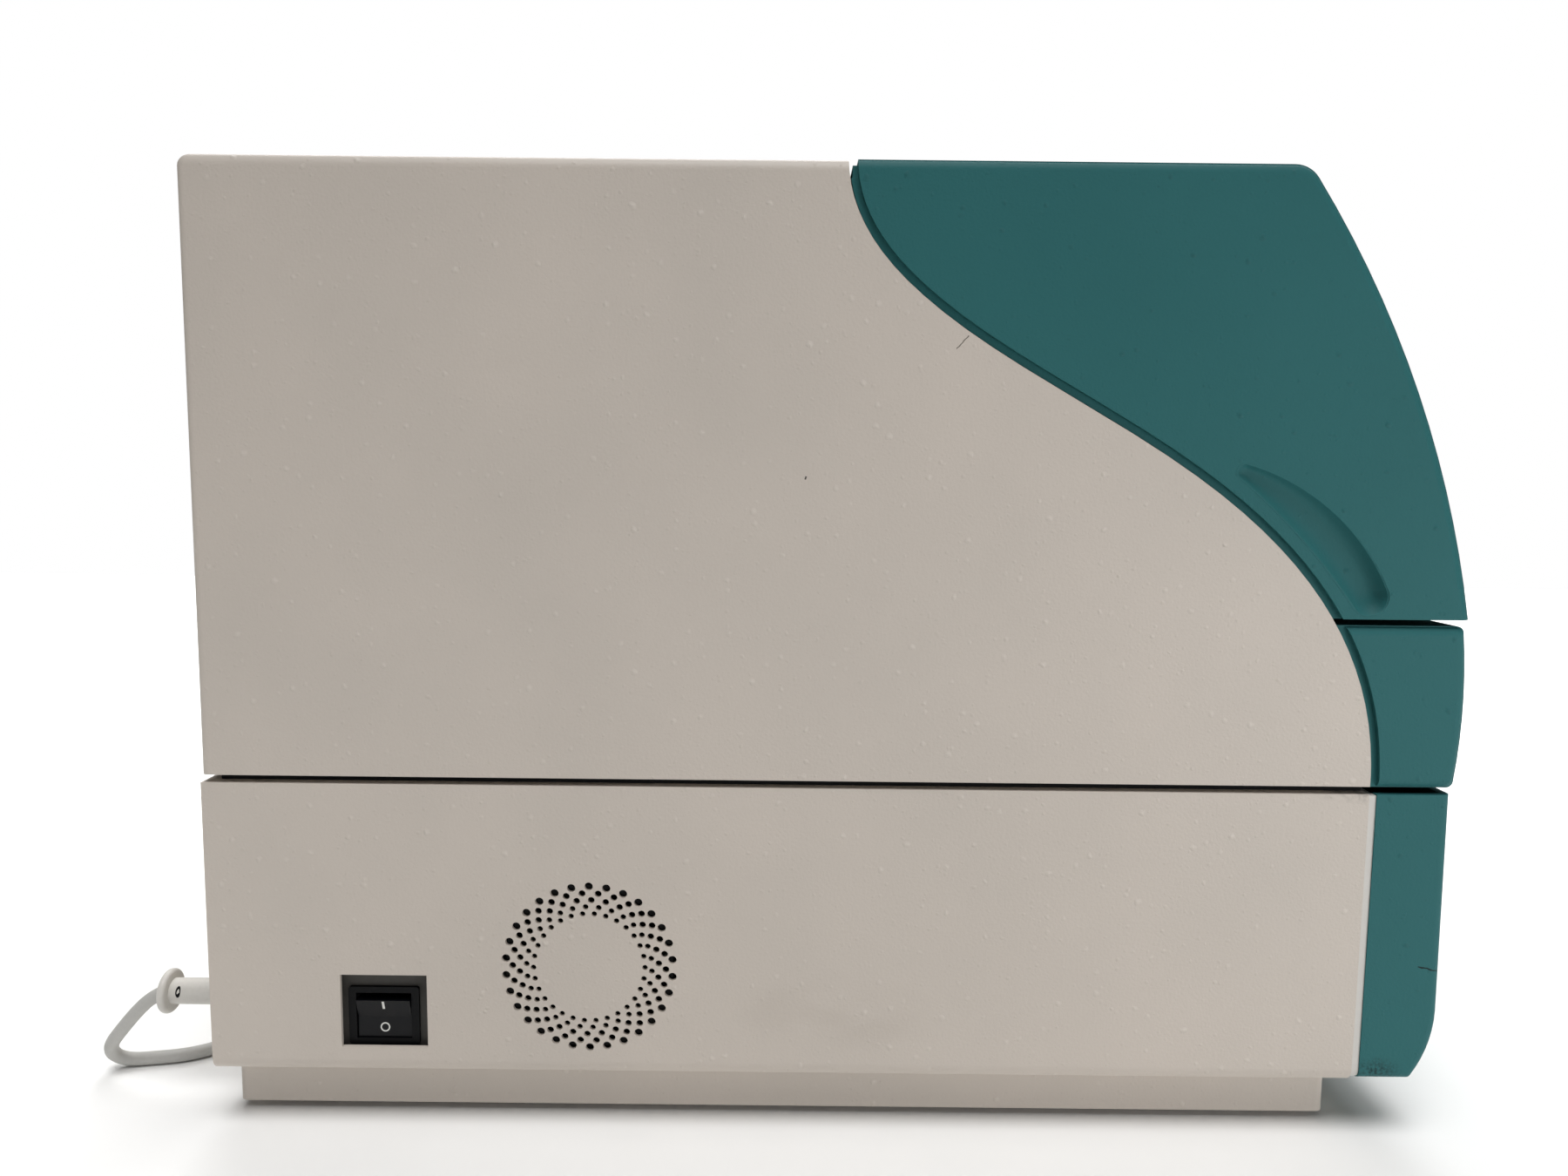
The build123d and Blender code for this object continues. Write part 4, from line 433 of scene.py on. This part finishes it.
def recess_dish(side):
    """The dished floor of a finger recess. Its edge is the crescent, and each inner row lies
    between that edge and a heart line inside it, nearer the outer edge. The depth is the
    depth at that place along the crescent, times one less the steepness power of the share
    of the way out, so the wall is steep at the edge and runs out gently in the floor."""
    edge = np.concatenate([
        arc_through(RECESS_OUTER, EDGE_POINTS), arc_through(RECESS_BOWL, EDGE_POINTS // 2),
        arc_through(RECESS_INNER, EDGE_POINTS), arc_through(RECESS_TIP, EDGE_POINTS // 4),
    ])
    outer = arc_through(RECESS_OUTER, 200)
    inner = arc_through(RECESS_INNER, 200)[::-1]
    middle = (inner + HEART_PLACE * (outer - inner))[HEART_ENDS]
    # Each edge point's own place on the heart line is the nearest one, evened out over its
    # neighbours, so that the rows don't bunch.
    nearest = np.linalg.norm(edge[:, None, :] - middle[None, :, :], axis=2).argmin(axis=1)
    wrapped = np.concatenate([nearest[-4:], nearest, nearest[:4]])
    low = np.convolve(wrapped, np.ones(9) / 9, mode="valid").astype(int)
    low = np.clip(low, 0, len(middle) - 1)
    heart = middle[low]
    depth = TIP_DEPTH + (BOWL_DEPTH - TIP_DEPTH) * (low / (len(middle) - 1)) ** DEEPENS
    outward = edge - heart
    outward /= np.linalg.norm(outward, axis=1)[:, None]
    lip = edge + LIP_WIDTH * outward
    out = np.array(DISH_SHARES)[:, None]
    flat = np.concatenate([
        np.stack([edge - BACK_INSET * outward, lip, lip, edge]),
        heart + out[..., None] * (edge - heart),
    ])
    rim = np.array((RECESS_BACK, LIP_BELOW, LIP_ABOVE, LIP_ABOVE))[:, None]
    deep = np.concatenate([rim + 0 * depth, depth * (1 - out ** WALL_STEEPNESS)])
    points = np.stack([
        side * (SIDE_X - deep * MM),
        NOSE_Y + flat[..., 0] * MM,
        HOOD_BOTTOM + flat[..., 1] * MM,
    ], axis=-1)
    name = "recess_dish_left" if side < 0 else "recess_dish_right"
    dish = grid_piece(name, points, TEAL, "hood", around=True, flip=side > 0)


def on_face(above, across, along):
    """Points on the rocker's face, from distances above it, across it and along it from its
    waist: each half of the face slopes up from the waist, and the whole is tilted."""
    slope = math.atan2(FACE_REACH - FACE_WAIST, FACE_HALF)
    x = -(FACE_WAIST + np.abs(along) * math.sin(slope) + above)
    z = along * math.cos(slope)
    c, s = math.cos(-ROCKER_TILT), math.sin(-ROCKER_TILT)
    pivot_y = (ROCKER_LOW.y + ROCKER_HIGH.y) / 2
    return np.stack([
        PIVOT_X + (c * x + s * z) * MM,
        pivot_y + across * MM,
        PIVOT_Z + (-s * x + c * z) * MM,
    ], axis=-1)


def switch_marks():
    """The printed bar on the rocker's upper half and the ring on its lower half, each a thin
    plate: rows of corners, or of points round a circle, at the plate's levels."""
    corners = np.array([(-1, -1), (1, -1), (1, 1), (-1, 1)])
    level = np.array([PRINT_DEEP, PRINT_HIGH, PRINT_HIGH])[:, None]
    shrink = np.array([0.0, 0.0, BAR_BEVEL])[:, None]
    across = corners[:, 0] * (BAR_HALF_WIDTH - shrink)
    along = BAR_PLACE + corners[:, 1] * (BAR_HALF_LENGTH - shrink)
    bar = grid_piece("mark_on", on_face(level, across, along), WHITE_PRINT, "rocker",
                     around=True, smooth=False)

    turn = np.linspace(0, 2 * math.pi, RING_POINTS + 1)
    level = np.array([PRINT_DEEP, PRINT_HIGH, PRINT_HIGH, PRINT_DEEP, PRINT_DEEP])[:, None]
    radius = np.array([RING_OUTER, RING_OUTER, RING_INNER, RING_INNER, RING_OUTER])[:, None]
    points = on_face(level, radius * np.cos(turn), RING_PLACE + radius * np.sin(turn))
    ring = grid_piece("mark_off", points, WHITE_PRINT, "rocker", smooth=False)


def coil_points():
    """The coil's turns: the lead goes round its centre, and in a part of each turn it moves
    smoothly, as three squares less two cubes, from one place in the ring's section to the
    next. The last turn climbs to the top."""
    part = np.arange(POINTS_PER_TURN) / POINTS_PER_TURN
    angle = 2 * math.pi * part - math.pi / 2
    turns = []
    for here, there, (first, last) in zip(COIL_CELLS, COIL_CELLS[1:], COIL_MOVES):
        share = np.clip((part - first) / (last - first), 0, 1)
        share = share * share * (3 - 2 * share)
        radius, next_radius = COIL_COLUMNS[here[0]], COIL_COLUMNS[there[0]]
        height, next_height = COIL_LAYERS[here[1]], COIL_LAYERS[there[1]]
        radius = radius + share * (next_radius - radius)
        turns.append(np.stack([
            COIL_CENTRE[0] + radius * np.cos(angle),
            COIL_CENTRE[1] + radius * np.sin(angle),
            height + share * (next_height - height),
        ], axis=-1))
    turns[-1][:, 2] += np.clip(part - CLIMB_FROM, 0, None) / (1 - CLIMB_FROM) * CLIMB
    end = (COIL_CENTRE[0], COIL_CENTRE[1] - COIL_COLUMNS[2], COIL_TOP)
    return np.concatenate([*turns, [end]])


def mains_cord():
    """The mains lead as one smooth curve: down from the collar to the table, along the rear,
    round its coil, and over the coil's top into the plug."""
    route = np.concatenate([LEAD_RUN, coil_points(), LEAD_TAIL]) * MM
    curve = bpy.data.curves.new("mains_cord", "CURVE")
    curve.dimensions = "3D"
    curve.bevel_depth = CORD_RADIUS * MM
    curve.bevel_resolution = 5
    curve.resolution_u = 6
    curve.use_fill_caps = True
    spline = curve.splines.new("NURBS")
    spline.points.add(len(route) - 1)
    spline.points.foreach_set("co", np.column_stack([route, np.ones(len(route))]).ravel())
    spline.order_u = 3
    spline.use_endpoint_u = True
    cord = bpy.data.objects.new("mains_cord", curve)
    bpy.context.scene.collection.objects.link(cord)
    cord.data.materials.append(CORD_VINYL)
    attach(cord, "base")
    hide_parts("mains_lead", "lead_coil")


def connector_slot_shade():
    """The oval slot beside the connector's collar: rings of an ellipse that is wrapped round the
    connector, from inside it up to its surface, and one smaller ring to close it. Its black face
    is painted shade for the slot's depth."""
    turn = np.linspace(0, 2 * math.pi, SLOT_POINTS, endpoint=False)
    radius = np.array([SLOT_BOTTOM, SLOT_TOP, SLOT_TOP])[:, None]
    size = np.array([1.0, 1.0, SLOT_INSET])[:, None]
    y = SLOT_Y + SLOT_HALF_WIDTH * size * np.cos(turn)
    angle = SLOT_ROUND + SLOT_HALF_LENGTH * size * np.sin(turn) / SLOT_RADIUS
    points = np.stack([
        CONNECTOR_X + radius * np.cos(angle), y, CONNECTOR_Z + radius * np.sin(angle),
    ], axis=-1)
    # Black plastic here is painted shade for the slot's depth.
    piece = grid_piece("connector_slot_shade", points * MM, BLACK_PLASTIC, "base",
                       around=True, flip=True)


recess_dish(-1)
recess_dish(1)
switch_marks()
mains_cord()
connector_slot_shade()

# ---------------------------------------------------------------- camera, floor and light

CAMERA_PLACE = Vector((-0.585, 0.01615, 0.2357))
PITCH = math.radians(5.73)
ROLL = 0.0105
FOCAL_PIXELS = 1250
IMAGE_WIDTH = 1800
SENSOR_WIDTH = 36

FLOOR_HALF = 1.9
# Each lamp's place and the point it faces in metres, its size in metres and its watts.
LAMPS = {
    "low_front": ((-0.95, -0.75, 0.05), (-0.21, -0.08, 0.04), 0.5, 4.2),
    "behind": ((1.5, 0.0, 1.6), (1.9, 0.0, 0.0), 2.4, 75),
}
SURROUND_STRENGTH = 0.06
SUN_STRENGTH = 2.3
SUN_ANGLE = 0.6
SUN_LEAN = math.radians(-15)


def camera():
    """Looks along +X and a little down, with the small roll of the hand-held picture."""
    data = bpy.data.cameras.new("camera")
    data.sensor_width = SENSOR_WIDTH
    data.lens = SENSOR_WIDTH * FOCAL_PIXELS / IMAGE_WIDTH
    data.clip_start = 0.02
    ahead = Vector((math.cos(PITCH), 0, -math.sin(PITCH)))
    level_up = Vector((math.sin(PITCH), 0, math.cos(PITCH)))
    level_right = Vector((0, -1, 0))
    right = math.cos(ROLL) * level_right + math.sin(ROLL) * level_up
    up = math.cos(ROLL) * level_up - math.sin(ROLL) * level_right
    turn = Matrix((right, up, -ahead)).transposed()
    made = bpy.data.objects.new("camera", data)
    made.matrix_world = Matrix.Translation(CAMERA_PLACE) @ turn.to_4x4()
    bpy.context.scene.collection.objects.link(made)
    bpy.context.scene.camera = made


def floor():
    """A plain pale floor: one square face."""
    mesh = bpy.data.meshes.new("floor")
    r = FLOOR_HALF
    mesh.from_pydata([(-r, -r, 0), (r, -r, 0), (r, r, 0), (-r, r, 0)], [], [(0, 1, 2, 3)])
    plane = bpy.data.objects.new("floor", mesh)
    bpy.context.scene.collection.objects.link(plane)
    # Matt pale board, so even that it shows no pattern.
    plane.data.materials.append(
        plain_finish("pale studio floor", "#F6F6F5", "#F2F2F1", 0.8, 40.0, 0.0))


def lamp(name, place, aim, size, power):
    """A soft square lamp that faces a point."""
    data = bpy.data.lights.new(name, "AREA")
    data.size = size
    data.energy = power
    made = bpy.data.objects.new(name, data)
    made.location = place
    made.rotation_mode = "QUATERNION"
    made.rotation_quaternion = (Vector(aim) - Vector(place)).to_track_quat("-Z", "Y")
    bpy.context.scene.collection.objects.link(made)


def light():
    """White surroundings that give little light of their own, a wide sun from above, a lamp
    that makes the lower front of the side the brightest, and one for the floor behind."""
    world = bpy.data.worlds.new("studio")
    bpy.context.scene.world = world
    world.use_nodes = True
    tree = world.node_tree
    back = tree.nodes["Background"]
    back.inputs["Color"].default_value = linear("#FFFFFF")
    back.inputs["Strength"].default_value = SURROUND_STRENGTH
    seen = add(tree, "Background", {"Color": linear("#FFFFFF"), "Strength": 1.0})
    path = add(tree, "LightPath")
    mixed = add(tree, "MixShader", {0: path.outputs["Is Camera Ray"], 1: back.outputs[0],
                                    2: seen.outputs[0]})
    tree.links.new(mixed.outputs[0], tree.nodes["World Output"].inputs["Surface"])
    for name, settings in LAMPS.items():
        lamp(name, *settings)
    data = bpy.data.lights.new("overhead", "SUN")
    data.energy = SUN_STRENGTH
    data.angle = SUN_ANGLE
    made = bpy.data.objects.new("overhead", data)
    made.rotation_euler = (0.0, SUN_LEAN, 0.0)
    bpy.context.scene.collection.objects.link(made)


camera()
floor()
light()
bpy.context.scene.view_settings.view_transform = "Standard"
